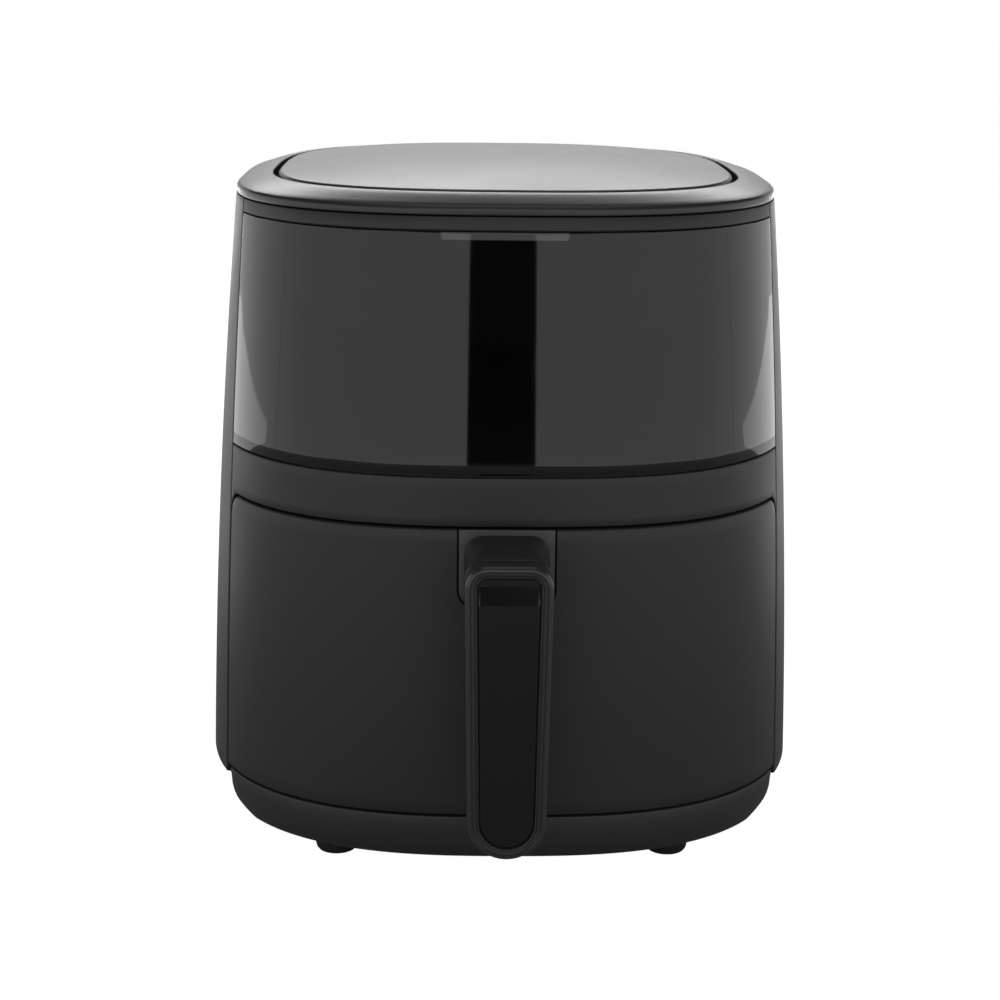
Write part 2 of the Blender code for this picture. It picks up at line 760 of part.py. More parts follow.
def heating_element(parent):
    """Tubular element: a flat spiral with both ends turned up through the dome."""
    z = DECK_TOP + HEATER_DROP
    bend = 0.008
    steps = 18 * HEATER_TURNS
    trimmed = bend / (2 * math.pi * HEATER_INNER_RADIUS)
    turns = spread(trimmed, HEATER_TURNS - trimmed, steps)
    spiral = [(*heater_spiral(t), z) for t in turns]
    (x0, y0), (x1, y1) = heater_ends()
    top = DOME_TOP + 0.012
    path = [(x0, y0, top), (x0, y0, z + bend), (x0, y0, z + bend * 0.35)]
    path += spiral + [(x1, y1, z + bend * 0.35), (x1, y1, z + bend), (x1, y1, top)]
    curve = bpy.data.curves.new("heating_element", "CURVE")
    curve.dimensions = "3D"
    curve.bevel_depth = HEATER_TUBE
    curve.bevel_resolution = 2
    curve.use_fill_caps = True
    spline = curve.splines.new("POLY")
    spline.points.add(len(path) - 1)
    for point, place in zip(spline.points, path):
        point.co = (*place, 1.0)
    element = bpy.data.objects.new("heating_element", curve)
    bpy.context.scene.collection.objects.link(element)
    curve.materials.append(STEEL)
    element.parent = parent
    return element


def exhaust_duct(parent):
    """Elbow from the deck to the rear vent, a rectangular tube open at both ends."""
    across = VENT_WIDTH / 2
    back = rear_depth(VENT_Z + VENT_HEIGHT) - SHELL_WALL - 0.004
    low = DECK_TOP + FIT_GAP
    stations = [
        ((DUCT_SETBACK, low), (DUCT_SETBACK + DUCT_DEPTH, low)),
        ((DUCT_SETBACK, VENT_Z + VENT_HEIGHT * 0.55), (DUCT_SETBACK + DUCT_DEPTH, VENT_Z)),
        ((back, VENT_Z + VENT_HEIGHT - 0.002), (back, VENT_Z + 0.002)),
    ]

    def ring(front, rear, inset):
        run = Vector((rear[0] - front[0], rear[1] - front[1])).normalized() * inset
        a = (front[0] + run.x, front[1] + run.y)
        b = (rear[0] - run.x, rear[1] - run.y)
        reach = across - inset
        return [(-reach, *a), (reach, *a), (reach, *b), (-reach, *b)]

    outer = [ring(front, rear, 0.0) for front, rear in stations]
    inner = [ring(front, rear, SHEET) for front, rear in reversed(stations)]
    return loft("exhaust_duct", outer + inner, STEEL, parent, closed=True)


def exhaust_grille(parent):
    grille = body_patch(
        "exhaust_grille", (0.0, SHELL_WALL), vent_half_angle(0.0),
        VENT_Z, VENT_Z + VENT_HEIGHT, MATT_PLASTIC, parent,
    )
    pitch = VENT_HEIGHT / (VENT_SLOTS + 0.6)
    reach = VENT_WIDTH / 2 - 0.006
    for i in range(VENT_SLOTS):
        z = VENT_Z + pitch * (i + 0.8)
        slot = box("slot", (-reach, 0.1, z - pitch * 0.28), (reach, 2 * REAR_DEPTH, z + pitch * 0.28),
                   MATT_PLASTIC, parent)
        cut(grille, slot)
    return grille


# ---- Motor and fans ----
PLATE_Z = DOME_TOP + FIT_GAP
STATOR_Z = PLATE_Z + SHEET + 0.003
STATOR_TOP = STATOR_Z + STATOR_HEIGHT
BRIDGE_Z = STATOR_TOP + 0.002
COOLING_FAN_Z = BRIDGE_Z + SHEET + BEARING_HEIGHT / 2 + 0.004
FAN_TOP = DOME_TOP - SHEET - 0.004


def motor_frame(name, z, parent, length=MOTOR_PLATE_LENGTH):
    """Flat carrier with a seat for a bearing in its middle."""
    plate = box(
        name, (-length / 2, -MOTOR_PLATE_WIDTH / 2, z),
        (length / 2, MOTOR_PLATE_WIDTH / 2, z + SHEET), STEEL, parent,
    )
    reach = BEARING_RADIUS + FIT_GAP
    return cut(plate, turned("hole", [(reach, z - 0.01), (reach, z + 0.01)], STEEL, parent))


def motor_stator(parent):
    half = STATOR_WIDTH / 2
    stator = box("motor_stator", (-half, -half, STATOR_Z), (half, half, STATOR_TOP), STEEL, parent)
    bore = turned("bore", [(STATOR_BORE, STATOR_Z - 0.01), (STATOR_BORE, STATOR_TOP + 0.01)],
                  STEEL, parent)
    return cut(stator, bore)


def bearing(name, z, parent):
    bore = SHAFT_RADIUS + FIT_GAP
    profile = [
        (bore, z), (BEARING_RADIUS, z),
        (BEARING_RADIUS, z + BEARING_HEIGHT), (bore, z + BEARING_HEIGHT),
    ]
    return turned(name, profile, BRASS, parent, hollow=True)


def motor_parts(parent):
    motor_frame("motor_plate", PLATE_Z, parent)
    motor_frame("motor_bridge", BRIDGE_Z, parent, STATOR_WIDTH)
    motor_stator(parent)
    bearing("bearing_lower", PLATE_Z - BEARING_HEIGHT * 0.4, parent)
    bearing("bearing_upper", BRIDGE_Z - BEARING_HEIGHT * 0.15, parent)


def wheel(name, radius, z_low, z_high, blades, web_at_top, material_, parent):
    """Fan wheel: a web with upright blades, a hub and a bore for the shaft."""
    web = 0.0012
    web_low = z_high - web if web_at_top else z_low
    body = turned(name, [(radius, web_low), (radius, web_low + web)], material_, parent, sides=36)
    hub = turned("hub", [(0.008, z_low), (0.008, z_high)], material_, parent)
    join(body, hub)
    overlap = web / 2
    low = z_low if web_at_top else z_low + overlap
    high = z_high - overlap if web_at_top else z_high
    for i in range(blades):
        blade = box("blade", (0.006, -0.0006, low), (radius * 0.985, 0.0006, high), material_, parent)
        blade.rotation_euler.z = 2 * math.pi * i / blades
        join(body, blade)
    bore = SHAFT_RADIUS + FIT_GAP
    return cut(body, turned("bore", [(bore, z_low - 0.01), (bore, z_high + 0.01)], material_, parent))


def rotor_parts(parent):
    fan_low = FAN_TOP - FAN_HEIGHT
    nut_low = fan_low - NUT_HEIGHT - FIT_GAP
    top = COOLING_FAN_Z + COOLING_FAN_HEIGHT + 0.003
    turned("motor_shaft", [(SHAFT_RADIUS, nut_low - 0.002), (SHAFT_RADIUS, top)], STEEL, parent)
    bore = SHAFT_RADIUS + FIT_GAP
    low, high = STATOR_Z + 0.001, STATOR_TOP - 0.001
    turned("motor_rotor", [(bore, low), (ROTOR_RADIUS, low), (ROTOR_RADIUS, high), (bore, high)],
           STEEL, parent, hollow=True)
    wheel("circulation_fan", FAN_RADIUS, fan_low, FAN_TOP, FAN_BLADES, True, STEEL, parent)
    wheel("cooling_fan", COOLING_FAN_RADIUS, COOLING_FAN_Z, COOLING_FAN_Z + COOLING_FAN_HEIGHT,
          COOLING_FAN_BLADES, False, MATT_PLASTIC, parent)
    nut_bore = bore / math.cos(math.pi / 6)
    turned("fan_nut", [(nut_bore, nut_low), (NUT_RADIUS, nut_low), (NUT_RADIUS, nut_low + NUT_HEIGHT),
                       (nut_bore, nut_low + NUT_HEIGHT)], STEEL, parent, sides=6, hollow=True)


# ---- Electrics ----
def power_board(parent):
    """Mains board beside the motor, with its relay and capacitor."""
    z = DOME_TOP + 0.008
    x0 = MOTOR_PLATE_LENGTH / 2 + 0.004
    x1 = half_width(z) - FRAME_WALL - 0.006
    board = box("power_board", (x0, -0.045, z), (x1, 0.035, z + BOARD_THICKNESS), BOARD, parent)
    relay = box("relay", (x0 + 0.006, -0.030, z + 0.001), (x0 + 0.024, -0.010, z + 0.018), BOARD, parent)
    join(board, relay)
    capacitor = turned("capacitor", [(0.008, z + 0.001), (0.008, z + 0.022)], BOARD, parent,
                       ((x0 + x1) / 2, 0.014), sides=16)
    return join(board, capacitor)


def thermal_cutout(parent):
    z = DOME_TOP + FIT_GAP
    profile = [(0.008, z), (0.008, z + 0.006), (0.005, z + 0.007), (0.005, z + 0.011)]
    return turned("thermal_cutout", profile, STEEL, parent, (-0.066, 0.020), sides=16)


def probe_place():
    return superellipse(math.radians(PROBE_ANGLE), PROBE_DISTANCE, PROBE_DISTANCE, 2)


def temperature_probe(parent):
    """Sensor hanging through the deck into the upper part of the bay."""
    seat = DECK_TOP + FIT_GAP
    profile = [
        (PROBE_RADIUS * 0.6, DECK_Z - PROBE_DROP), (PROBE_RADIUS, DECK_Z - PROBE_DROP + 0.001),
        (PROBE_RADIUS, seat), (2 * PROBE_RADIUS, seat), (2 * PROBE_RADIUS, seat + 0.003),
        (PROBE_RADIUS, seat + 0.004), (PROBE_RADIUS, seat + 0.016),
    ]
    return turned("temperature_probe", profile, STEEL, parent, probe_place(), sides=12)


SWITCH_Y = -(half_depth(DRAWER_TOP) - INNER_PANEL_SETBACK + INNER_PANEL_THICKNESS / 2)


def drawer_switch(parent):
    width, depth, height = SWITCH_SIZE
    low = DECK_TOP + FIT_GAP
    switch = box(
        "drawer_switch", (SWITCH_X - width / 2, SWITCH_Y - depth / 2, low),
        (SWITCH_X + width / 2, SWITCH_Y + depth / 2, low + height), GLOSS_PLASTIC, parent,
    )
    reach = PLUNGER_RADIUS + FIT_GAP
    hole = turned("hole", [(reach, low - 0.01), (reach, low + height * 0.7)], GLOSS_PLASTIC, parent,
                  (SWITCH_X, SWITCH_Y), sides=12)
    return cut(switch, hole)


def switch_plunger(parent):
    low = INNER_PANEL_TOP + 0.0006
    high = DECK_TOP + FIT_GAP + SWITCH_SIZE[2] * 0.45
    profile = [(PLUNGER_RADIUS * 0.6, low), (PLUNGER_RADIUS, low + 0.0006), (PLUNGER_RADIUS, high)]
    return turned("switch_plunger", profile, RUBBER, parent, (SWITCH_X, SWITCH_Y), sides=12)


def cord_gland(parent):
    """Bush in the rear shell that the mains lead leaves through."""
    seat = rear_y(GLAND_X - GLAND_FLANGE, GLAND_HEIGHT - GLAND_FLANGE) + FIT_GAP
    outside = seat + GLAND_FLANGE_THICKNESS
    inside = seat - GLAND_LENGTH
    profile = [
        (GLAND_RADIUS - 0.001, inside), (GLAND_RADIUS, inside + 0.002), (GLAND_RADIUS, seat),
        (GLAND_FLANGE, seat), (GLAND_FLANGE, outside - 0.0005), (GLAND_FLANGE - 0.001, outside),
        (GLAND_BORE, outside), (GLAND_BORE, inside),
    ]
    return along_y("cord_gland", profile, GLAND_X, GLAND_HEIGHT, RUBBER, parent, hollow=True)


# ---- Drawer ----
INNER_PANEL_TOP = DRAWER_TOP - 0.001


def notch_outline(inset, top):
    """Outline of the handle's mounting plate, square above and rounded below, as (x, z)."""
    across = NOTCH_WIDTH / 2 - inset
    low = DRAWER_TOP - NOTCH_HEIGHT + inset
    radius = NOTCH_CORNER - inset
    points = [(-across, top), (-across, (low + top) / 2)]
    for i in range(7):
        turn = math.pi + math.pi / 2 * i / 6
        points.append((-across + radius + radius * math.cos(turn),
                       low + radius + radius * math.sin(turn)))
    for i in range(7):
        turn = 1.5 * math.pi + math.pi / 2 * i / 6
        points.append((across - radius + radius * math.cos(turn),
                       low + radius + radius * math.sin(turn)))
    return points + [(across, (low + top) / 2), (across, top)]


def notch_prism(inset, top, parent):
    outline = notch_outline(inset, top)
    loops = [[(x, y, z) for x, z in outline] for y in (-2 * FRONT_DEPTH, -FRONT_DEPTH / 2)]
    return loft("notch_prism", loops, MATT_PLASTIC, parent)


def drawer_front(parent):
    end = SEAM_GAP

    def section(distance):
        top = DRAWER_TOP - corner_drop(distance)
        levels = spread(DRAWER_BOTTOM, top, 4)
        outer = [(0.0, z) for z in levels]
        return outer + [(SHELL_WALL, z) for z in reversed(levels)]

    front = front_wall("drawer_front", section, MATT_PLASTIC, parent, SEAM_GAP / 2 + end, True)
    return cut(front, notch_prism(0.0, DRAWER_TOP + 0.02, parent))


def inner_panel_y():
    return -(half_depth(DRAWER_TOP) - INNER_PANEL_SETBACK)


def drawer_inner(parent):
    """Closes the back of the drawer front, with a flange forward to its upper edge."""
    back = inner_panel_y()
    wall = SHELL_WALL + 2 * FIT_GAP
    low = DRAWER_BOTTOM + INNER_PANEL_LIFT

    def reach(z, y):
        along = half_depth(z) - wall
        return (half_width(z) - wall) * (1 - abs(y / along) ** FRONT_POWER) ** (1 / FRONT_POWER)

    front = back - INNER_PANEL_THICKNESS
    loops = []
    for z in spread(low, INNER_PANEL_TOP, 4):
        across = reach(z, front) - FIT_GAP
        loops.append([(-across, front, z), (across, front, z), (across, back, z), (-across, back, z)])
    panel = loft("drawer_inner", loops, MATT_PLASTIC, parent)
    middle = (front + back) / 2
    edge = math.atan2(-middle, reach(INNER_PANEL_TOP, middle))
    angles = spread(-math.pi + edge, -edge, FRONT_STATIONS)
    flange = loft("flange", [
        [body_point(angle, z, wall) for angle in angles]
        for z in (INNER_PANEL_TOP - INNER_PANEL_THICKNESS, INNER_PANEL_TOP)
    ], MATT_PLASTIC, parent)
    join(panel, flange)
    side = NOTCH_WIDTH / 2 + FIT_GAP
    handle_room = front_y(0, DRAWER_TOP) + MOUNT_PLATE + 0.002
    room = box("room", (-side, -2 * FRONT_DEPTH, INNER_PANEL_TOP - 0.01),
               (side, handle_room, 2 * INNER_PANEL_TOP), MATT_PLASTIC, parent)
    cut(panel, room)
    hole_reach = SCREW_RADIUS + FIT_GAP
    for z in handle_screw_heights():
        hole = along_y("hole", [(hole_reach, back - 0.01), (hole_reach, back + 0.01)], 0, z,
                       MATT_PLASTIC, parent)
        cut(panel, hole)
    return panel


def pan_size(share):
    """Half-sizes of the pan's inside at a share of its depth above its floor."""
    draft = PAN_DRAFT * (1 - share)
    return PAN_ACROSS - PAN_RIM - draft, PAN_ALONG - PAN_RIM - draft


def pan(parent):
    depth = PAN_TOP - PAN_BOTTOM
    loops = []

    def ring(grow, height, share):
        across, along = pan_size(share)
        loops.append(rounded_outline(across + grow, along + grow, PAN_POWER, PAN_BOTTOM + height))

    ring(PAN_WALL - PAN_ROUNDING, 0.0, 0.0)
    ring(PAN_WALL - PAN_ROUNDING * 0.3, PAN_ROUNDING * 0.3, 0.0)
    ring(PAN_WALL, PAN_ROUNDING, 0.1)
    ring(PAN_WALL, depth * 0.5, 0.5)
    ring(PAN_WALL, depth - PAN_WALL, 1.0)
    ring(PAN_RIM, depth - PAN_WALL, 1.0)
    ring(PAN_RIM, depth, 1.0)
    ring(0.0, depth, 1.0)
    ring(0.0, depth * 0.5, 0.5)
    ring(0.0, PAN_ROUNDING, 0.1)
    ring(-PAN_ROUNDING * 0.3, PAN_ROUNDING * 0.3 + PAN_WALL * 0.7, 0.0)
    ring(-PAN_ROUNDING, PAN_WALL, 0.0)
    return loft("pan", loops, NONSTICK, parent)


def pan_bracket(parent):
    """Steel bracket welded to the front of the pan, which the inner panel is fixed to."""
    depth = PAN_TOP - PAN_BOTTOM
    across = 0.045
    front = inner_panel_y() + FIT_GAP
    loops = []
    for share in (0.22, 0.8):
        z = PAN_BOTTOM + depth * share
        back = -(pan_size(share)[1] + PAN_WALL + FIT_GAP)
        loops.append([(-across, front, z), (across, front, z), (across, back, z), (-across, back, z)])
    return loft("pan_bracket", loops, STEEL, parent)


def handle_outline(inset, steps=7):
    """Outline of the grip seen from the front, as (x, z): rounded shoulders, a round lower end."""
    top = DRAWER_TOP - HANDLE_DROP - inset
    across = HANDLE_WIDTH / 2 - inset
    end = HANDLE_END_WIDTH / 2 - inset
    end_z = DRAWER_TOP - HANDLE_DROP - HANDLE_LENGTH + HANDLE_END_WIDTH / 2
    corner = HANDLE_CORNER - inset
    points = []
    for i in range(steps):
        turn = math.pi / 2 * (1 - i / (steps - 1))
        points.append((across - corner + corner * math.cos(turn), top - corner + corner * math.sin(turn)))
    for i in range(2 * steps):
        turn = -math.pi * i / (2 * steps - 1)
        points.append((end * math.cos(turn), end_z + end * math.sin(turn)))
    for i in range(steps):
        turn = math.pi - math.pi / 2 * i / (steps - 1)
        points.append((-across + corner + corner * math.cos(turn),
                       top - corner + corner * math.sin(turn)))
    return points


HANDLE_FRONT = -(FRONT_DEPTH + HANDLE_REACH)
GRIP_SPLIT = HANDLE_FRONT + GRIP_FRONT_DEPTH
GRIP_BACK = HANDLE_FRONT + GRIP_DEPTH


def grip_loft(name, profile, material_, parent):
    loops = [[(x, y, z) for x, z in handle_outline(inset)] for inset, y in profile]
    return loft(name, loops, material_, parent)


def handle_frame(parent):
    profile = [
        (0.0, GRIP_SPLIT), (0.0, HANDLE_FRONT + 0.003), (0.0006, HANDLE_FRONT + 0.0012),
        (0.0020, HANDLE_FRONT), (HANDLE_RIM, HANDLE_FRONT),
        (HANDLE_RIM + 0.0003, HANDLE_FRONT + INSERT_DEPTH),
    ]
    return grip_loft("handle_frame", profile, SATIN_PLASTIC, parent)


def handle_insert(parent):
    inset = HANDLE_RIM + 2 * FIT_GAP
    profile = [
        (inset, HANDLE_FRONT + INSERT_DEPTH - FIT_GAP), (inset, HANDLE_FRONT + 0.0013),
        (inset + 0.0008, HANDLE_FRONT + 0.0006),
    ]
    return grip_loft("handle_insert", profile, GLOSS_PLASTIC, parent)


def neck_outline(grow):
    """Outline of the neck, as (x, z), with the shoulders of the grip."""
    across = NECK_WIDTH / 2 + grow
    top = DRAWER_TOP - HANDLE_DROP - NECK_DROP + grow * 0.4
    low = top - NECK_HEIGHT - grow
    radius = HANDLE_CORNER - 0.001
    points = []
    for centre_x, centre_z, start in (
        (across - radius, top - radius, 0.0), (-across + radius, top - radius, 0.5),
        (-across + radius, low + radius, 1.0), (across - radius, low + radius, 1.5),
    ):
        for i in range(6):
            turn = math.pi * (start + 0.1 * i)
            points.append((centre_x + radius * math.cos(turn), centre_z + radius * math.sin(turn)))
    return points


def handle_screw_heights():
    top = DRAWER_TOP - HANDLE_DROP - NECK_DROP
    return [top - NECK_HEIGHT * 0.25, top - NECK_HEIGHT * 0.75]


def handle_body(parent):
    """Rear half of the grip with its neck, its mounting plate and two screw bosses."""
    grip = grip_loft("handle_body", [
        (0.0, GRIP_SPLIT + FIT_GAP), (0.0, GRIP_BACK - 0.004), (0.0015, GRIP_BACK - 0.0014),
        (0.0045, GRIP_BACK),
    ], SATIN_PLASTIC, parent)
    plate_y = front_y(0, DRAWER_TOP - NOTCH_HEIGHT / 2)
    neck = loft("neck", [
        [(x, y, z) for x, z in neck_outline(grow)]
        for grow, y in ((0.0, GRIP_BACK - 0.003), (0.0, plate_y - 0.005), (0.0012, plate_y - 0.0012),
                        (0.0016, plate_y + 0.001))
    ], SATIN_PLASTIC, parent)
    low, top = DRAWER_TOP - NOTCH_HEIGHT * 1.2, DRAWER_TOP
    plate = front_wall(
        "plate", lambda distance: [(0.0, low), (0.0, top), (MOUNT_PLATE, top), (MOUNT_PLATE, low)],
        SATIN_PLASTIC, parent,
    )
    combine(plate, notch_prism(NOTCH_GAP, DRAWER_TOP + 0.02, parent), "INTERSECT")
    join(grip, neck)
    join(grip, plate)
    boss_end = inner_panel_y() - INNER_PANEL_THICKNESS - FIT_GAP
    for z in handle_screw_heights():
        boss = along_y("boss", [(BOSS_RADIUS, plate_y + 0.001), (BOSS_RADIUS, boss_end)],
                       0, z, SATIN_PLASTIC, parent)
        join(grip, boss)
        reach = SCREW_RADIUS + FIT_GAP
        hole = along_y("hole", [(reach, boss_end - SCREW_LENGTH), (reach, boss_end + 0.01)],
                       0, z, SATIN_PLASTIC, parent)
        cut(grip, hole)
    return grip


def handle_screws(parent):
    head = inner_panel_y() + FIT_GAP
    for name, z in zip(("upper", "lower"), handle_screw_heights()):
        profile = [
            (SCREW_HEAD_RADIUS * 0.8, head + SCREW_HEAD_HEIGHT),
            (SCREW_HEAD_RADIUS, head + SCREW_HEAD_HEIGHT * 0.6),
            (SCREW_HEAD_RADIUS, head), (SCREW_RADIUS, head), (SCREW_RADIUS, head - SCREW_LENGTH),
        ]
        along_y(f"handle_screw_{name}", profile, 0, z, STEEL, parent, sides=12)


# ---- Crisper plate ----
PLATE_LOW = PAN_BOTTOM + PAN_WALL + PLATE_STAND


def plate_share():
    return PLATE_STAND / (PAN_TOP - PAN_BOTTOM)


def crisper_plate(parent):
    across, along = (size - PLATE_MARGIN for size in pan_size(plate_share()))
    plate = loft("crisper_plate", [
        rounded_outline(across, along, PAN_POWER, PLATE_LOW),
        rounded_outline(across, along, PAN_POWER, PLATE_LOW + PLATE_THICKNESS),
    ], NONSTICK, parent)
    bm = bmesh.new()
    columns = int(across / PLATE_HOLE_PITCH)
    rows = int(along / PLATE_HOLE_PITCH)
    for column in range(-columns, columns + 1):
        for row in range(-rows, rows + 1):
            x, y = column * PLATE_HOLE_PITCH, row * PLATE_HOLE_PITCH
            reach = abs(x / (across - 0.012)) ** PAN_POWER + abs(y / (along - 0.012)) ** PAN_POWER
            if reach < 1:
                made = bmesh.ops.create_cone(
                    bm, cap_ends=True, segments=6, radius1=PLATE_HOLE_RADIUS,
                    radius2=PLATE_HOLE_RADIUS, depth=0.01,
                )
                bmesh.ops.translate(bm, verts=made["verts"], vec=(x, y, PLATE_LOW))
    return cut(plate, finish_mesh("holes", bm, NONSTICK, parent))


def plate_feet(parent):
    """Silicone feet that hold the plate off the floor of the pan."""
    across, along = (size - PAN_ROUNDING - 0.012 for size in pan_size(0.0))
    number = 0
    for side_x in (-1, 1):
        for side_y in (-1, 1):
            number += 1
            turn = math.atan2(side_y * along, side_x * across)
            place = superellipse(turn, across, along, PAN_POWER)
            low, high = PAN_BOTTOM + PAN_WALL + FIT_GAP, PLATE_LOW - FIT_GAP
            profile = [(0.005, low), (0.006, low + 0.001), (0.006, high)]
            turned(f"plate_foot_{number}", profile, SILICONE, parent, place, sides=16)


for startup_object in list(bpy.data.objects):
    bpy.data.objects.remove(startup_object)

MATT_PLASTIC = material("matt black polypropylene", (0.020, 0.020, 0.021), 0.5)
SATIN_PLASTIC = material("satin black ABS", (0.030, 0.030, 0.031), 0.35)
GLOSS_PLASTIC = material("gloss black acrylic", (0.006, 0.006, 0.007), 0.06)
NONSTICK = material("non-stick coating", (0.035, 0.035, 0.036), 0.45)
STEEL = material("galvanised steel", (0.55, 0.55, 0.56), 0.35, 1.0)
BRASS = material("sintered bronze", (0.60, 0.42, 0.20), 0.4, 1.0)
RUBBER = material("black rubber", (0.015, 0.015, 0.015), 0.8)
SILICONE = material("grey silicone", (0.10, 0.10, 0.10), 0.6)
BOARD = material("circuit board", (0.02, 0.14, 0.06), 0.5)

# The overall box is centred on the origin, and the handle reaches past the front of the body.
APPLIANCE = body_empty("appliance")
APPLIANCE.location.y = (HANDLE_REACH + FRONT_DEPTH - REAR_DEPTH) / 2
HOUSING = body_empty("housing", APPLIANCE)
DRAWER = body_empty("drawer", APPLIANCE)
CRISPER = body_empty("crisper", DRAWER)
ROTOR = body_empty("rotor", HOUSING)
PLUNGER = body_empty("plunger", HOUSING)

rear_shell(HOUSING)
front_frame(HOUSING)
touch_panel(HOUSING)
control_board(HOUSING)
top_ring(HOUSING)
intake_grille(HOUSING)
top_insert(HOUSING)
base_shell(HOUSING)
base_screws(HOUSING)
feet(HOUSING)
bay_floor(HOUSING)
rails(HOUSING)
chamber_liner(HOUSING)
chamber_deck(HOUSING)
heat_dome(HOUSING)
heating_element(HOUSING)
exhaust_duct(HOUSING)
exhaust_grille(HOUSING)
motor_parts(HOUSING)
power_board(HOUSING)
thermal_cutout(HOUSING)
temperature_probe(HOUSING)
drawer_switch(HOUSING)
cord_gland(HOUSING)

rotor_parts(ROTOR)
switch_plunger(PLUNGER)

drawer_front(DRAWER)
drawer_inner(DRAWER)
pan(DRAWER)
pan_bracket(DRAWER)
handle_body(DRAWER)
handle_frame(DRAWER)
handle_insert(DRAWER)
handle_screws(DRAWER)

crisper_plate(CRISPER)
plate_feet(CRISPER)
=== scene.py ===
# %% [markdown]
# # A drawer air fryer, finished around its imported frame
# The engineering model already says where every part is and how it moves. This lesson puts fine
# skins over the parts that show, and gives every part a procedural material. All lengths are in
# metres, +Z is up and the front faces -Y.

# %% Load the frame
import math

import bmesh
import bpy
from mathutils import Matrix, Vector


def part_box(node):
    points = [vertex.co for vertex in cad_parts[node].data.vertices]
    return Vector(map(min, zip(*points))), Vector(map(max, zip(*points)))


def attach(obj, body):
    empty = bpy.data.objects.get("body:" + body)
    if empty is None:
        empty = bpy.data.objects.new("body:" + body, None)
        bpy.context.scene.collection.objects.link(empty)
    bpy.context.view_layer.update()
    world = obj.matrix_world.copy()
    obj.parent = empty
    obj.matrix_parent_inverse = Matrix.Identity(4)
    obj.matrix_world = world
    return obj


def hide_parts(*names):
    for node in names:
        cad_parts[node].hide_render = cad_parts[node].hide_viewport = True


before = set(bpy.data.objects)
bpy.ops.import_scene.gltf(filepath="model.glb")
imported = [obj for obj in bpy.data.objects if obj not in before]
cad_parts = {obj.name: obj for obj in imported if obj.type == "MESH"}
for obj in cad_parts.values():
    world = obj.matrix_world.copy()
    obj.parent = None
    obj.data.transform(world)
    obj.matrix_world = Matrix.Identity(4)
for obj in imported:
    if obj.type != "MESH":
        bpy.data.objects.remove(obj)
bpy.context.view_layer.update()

# %% [markdown]
# ## The shape of the body
# Seen from above, the body is a superellipse: a squarish oval. Its half-widths shrink with height
# by a straight lean and a slight bow. The same few numbers are used in the frame, so a skin made
# with them lies exactly on the part that it replaces. Heights come from the frame's own boxes.

# %% Sizes of the body
BODY_WIDTH = 0.280
FRONT_DEPTH = 0.1425
REAR_DEPTH = 0.166
FRONT_POWER = 2.68
REAR_POWER = 3.2
WIDEST_HEIGHT = 0.022
SIDE_LEAN = 0.0225
SIDE_BOW = 0.1245
SEAM_SETBACK = 0.063
SEAM_GAP = 0.0008
BASE_STEP_WIDTH = 0.005
BASE_INSET = 0.0032
BASE_ROUNDING = 0.014
SIDE_ROUNDING = 0.024  # of the base, at its widest
CORNER_RADIUS = 0.0075
FRONT_WALL = 0.0045
SHELL_WALL = 0.0025
DRAWER_GAP = 0.0010
CAP_GAP = 0.0006

fan_low, fan_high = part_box("circulation_fan")
CENTRE = Vector((0.0, (fan_low.y + fan_high.y) / 2, 0.0))
BASE_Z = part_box("base_shell")[0].z
BASE_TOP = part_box("base_shell")[1].z
DRAWER_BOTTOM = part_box("drawer_front")[0].z
DRAWER_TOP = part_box("drawer_front")[1].z
BAND_BOTTOM = DRAWER_TOP + DRAWER_GAP
FRAME_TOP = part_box("front_frame")[1].z
PANEL_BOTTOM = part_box("touch_panel")[0].z
PANEL_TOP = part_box("touch_panel")[1].z
SHELL_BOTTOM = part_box("rear_shell")[0].z
CAP_BOTTOM = FRAME_TOP + CAP_GAP


def half_width(z):
    rise = max(z - WIDEST_HEIGHT, 0.0)
    return BODY_WIDTH / 2 - SIDE_LEAN * rise - SIDE_BOW * rise * rise


def half_depths(z):
    """Depth in front of and behind the widest section."""
    return half_width(z) + FRONT_DEPTH - BODY_WIDTH / 2, half_width(z) + REAR_DEPTH - BODY_WIDTH / 2


def oval(angle, across, along, power):
    c, s = math.cos(angle), math.sin(angle)
    radius = (abs(c / across) ** power + abs(s / along) ** power) ** (-1 / power)
    return Vector((radius * c, radius * s, 0.0))


def body_point(angle, z, inset=0.0):
    """Point of the body's surface, moved inwards by inset."""
    front, rear = half_depths(z)
    if math.sin(angle) < 0:
        place = oval(angle, half_width(z) - inset, front - inset, FRONT_POWER)
    else:
        place = oval(angle, half_width(z) - inset, rear - inset, REAR_POWER)
    place.z = z
    return place + CENTRE


def seam_angle(z):
    """Angle of the right-hand seam below the x axis."""
    front = half_depths(z)[0]
    behind = front - SEAM_SETBACK
    across = half_width(z) * (1 - (behind / front) ** FRONT_POWER) ** (1 / FRONT_POWER)
    return math.atan2(behind, across)


def front_y(x, z):
    front = half_depths(z)[0]
    return CENTRE.y - front * (1 - (abs(x) / half_width(z)) ** FRONT_POWER) ** (1 / FRONT_POWER)


print(f"body {BODY_WIDTH * 1000:.0f} mm wide, cap starts at {CAP_BOTTOM * 1000:.1f} mm")

# %% [markdown]
# ## Camera
# A long lens a metre away, a little above the object, keeps the upright lines nearly parallel.
# The camera looks down by 14 degrees, and is turned and rolled by about one degree.

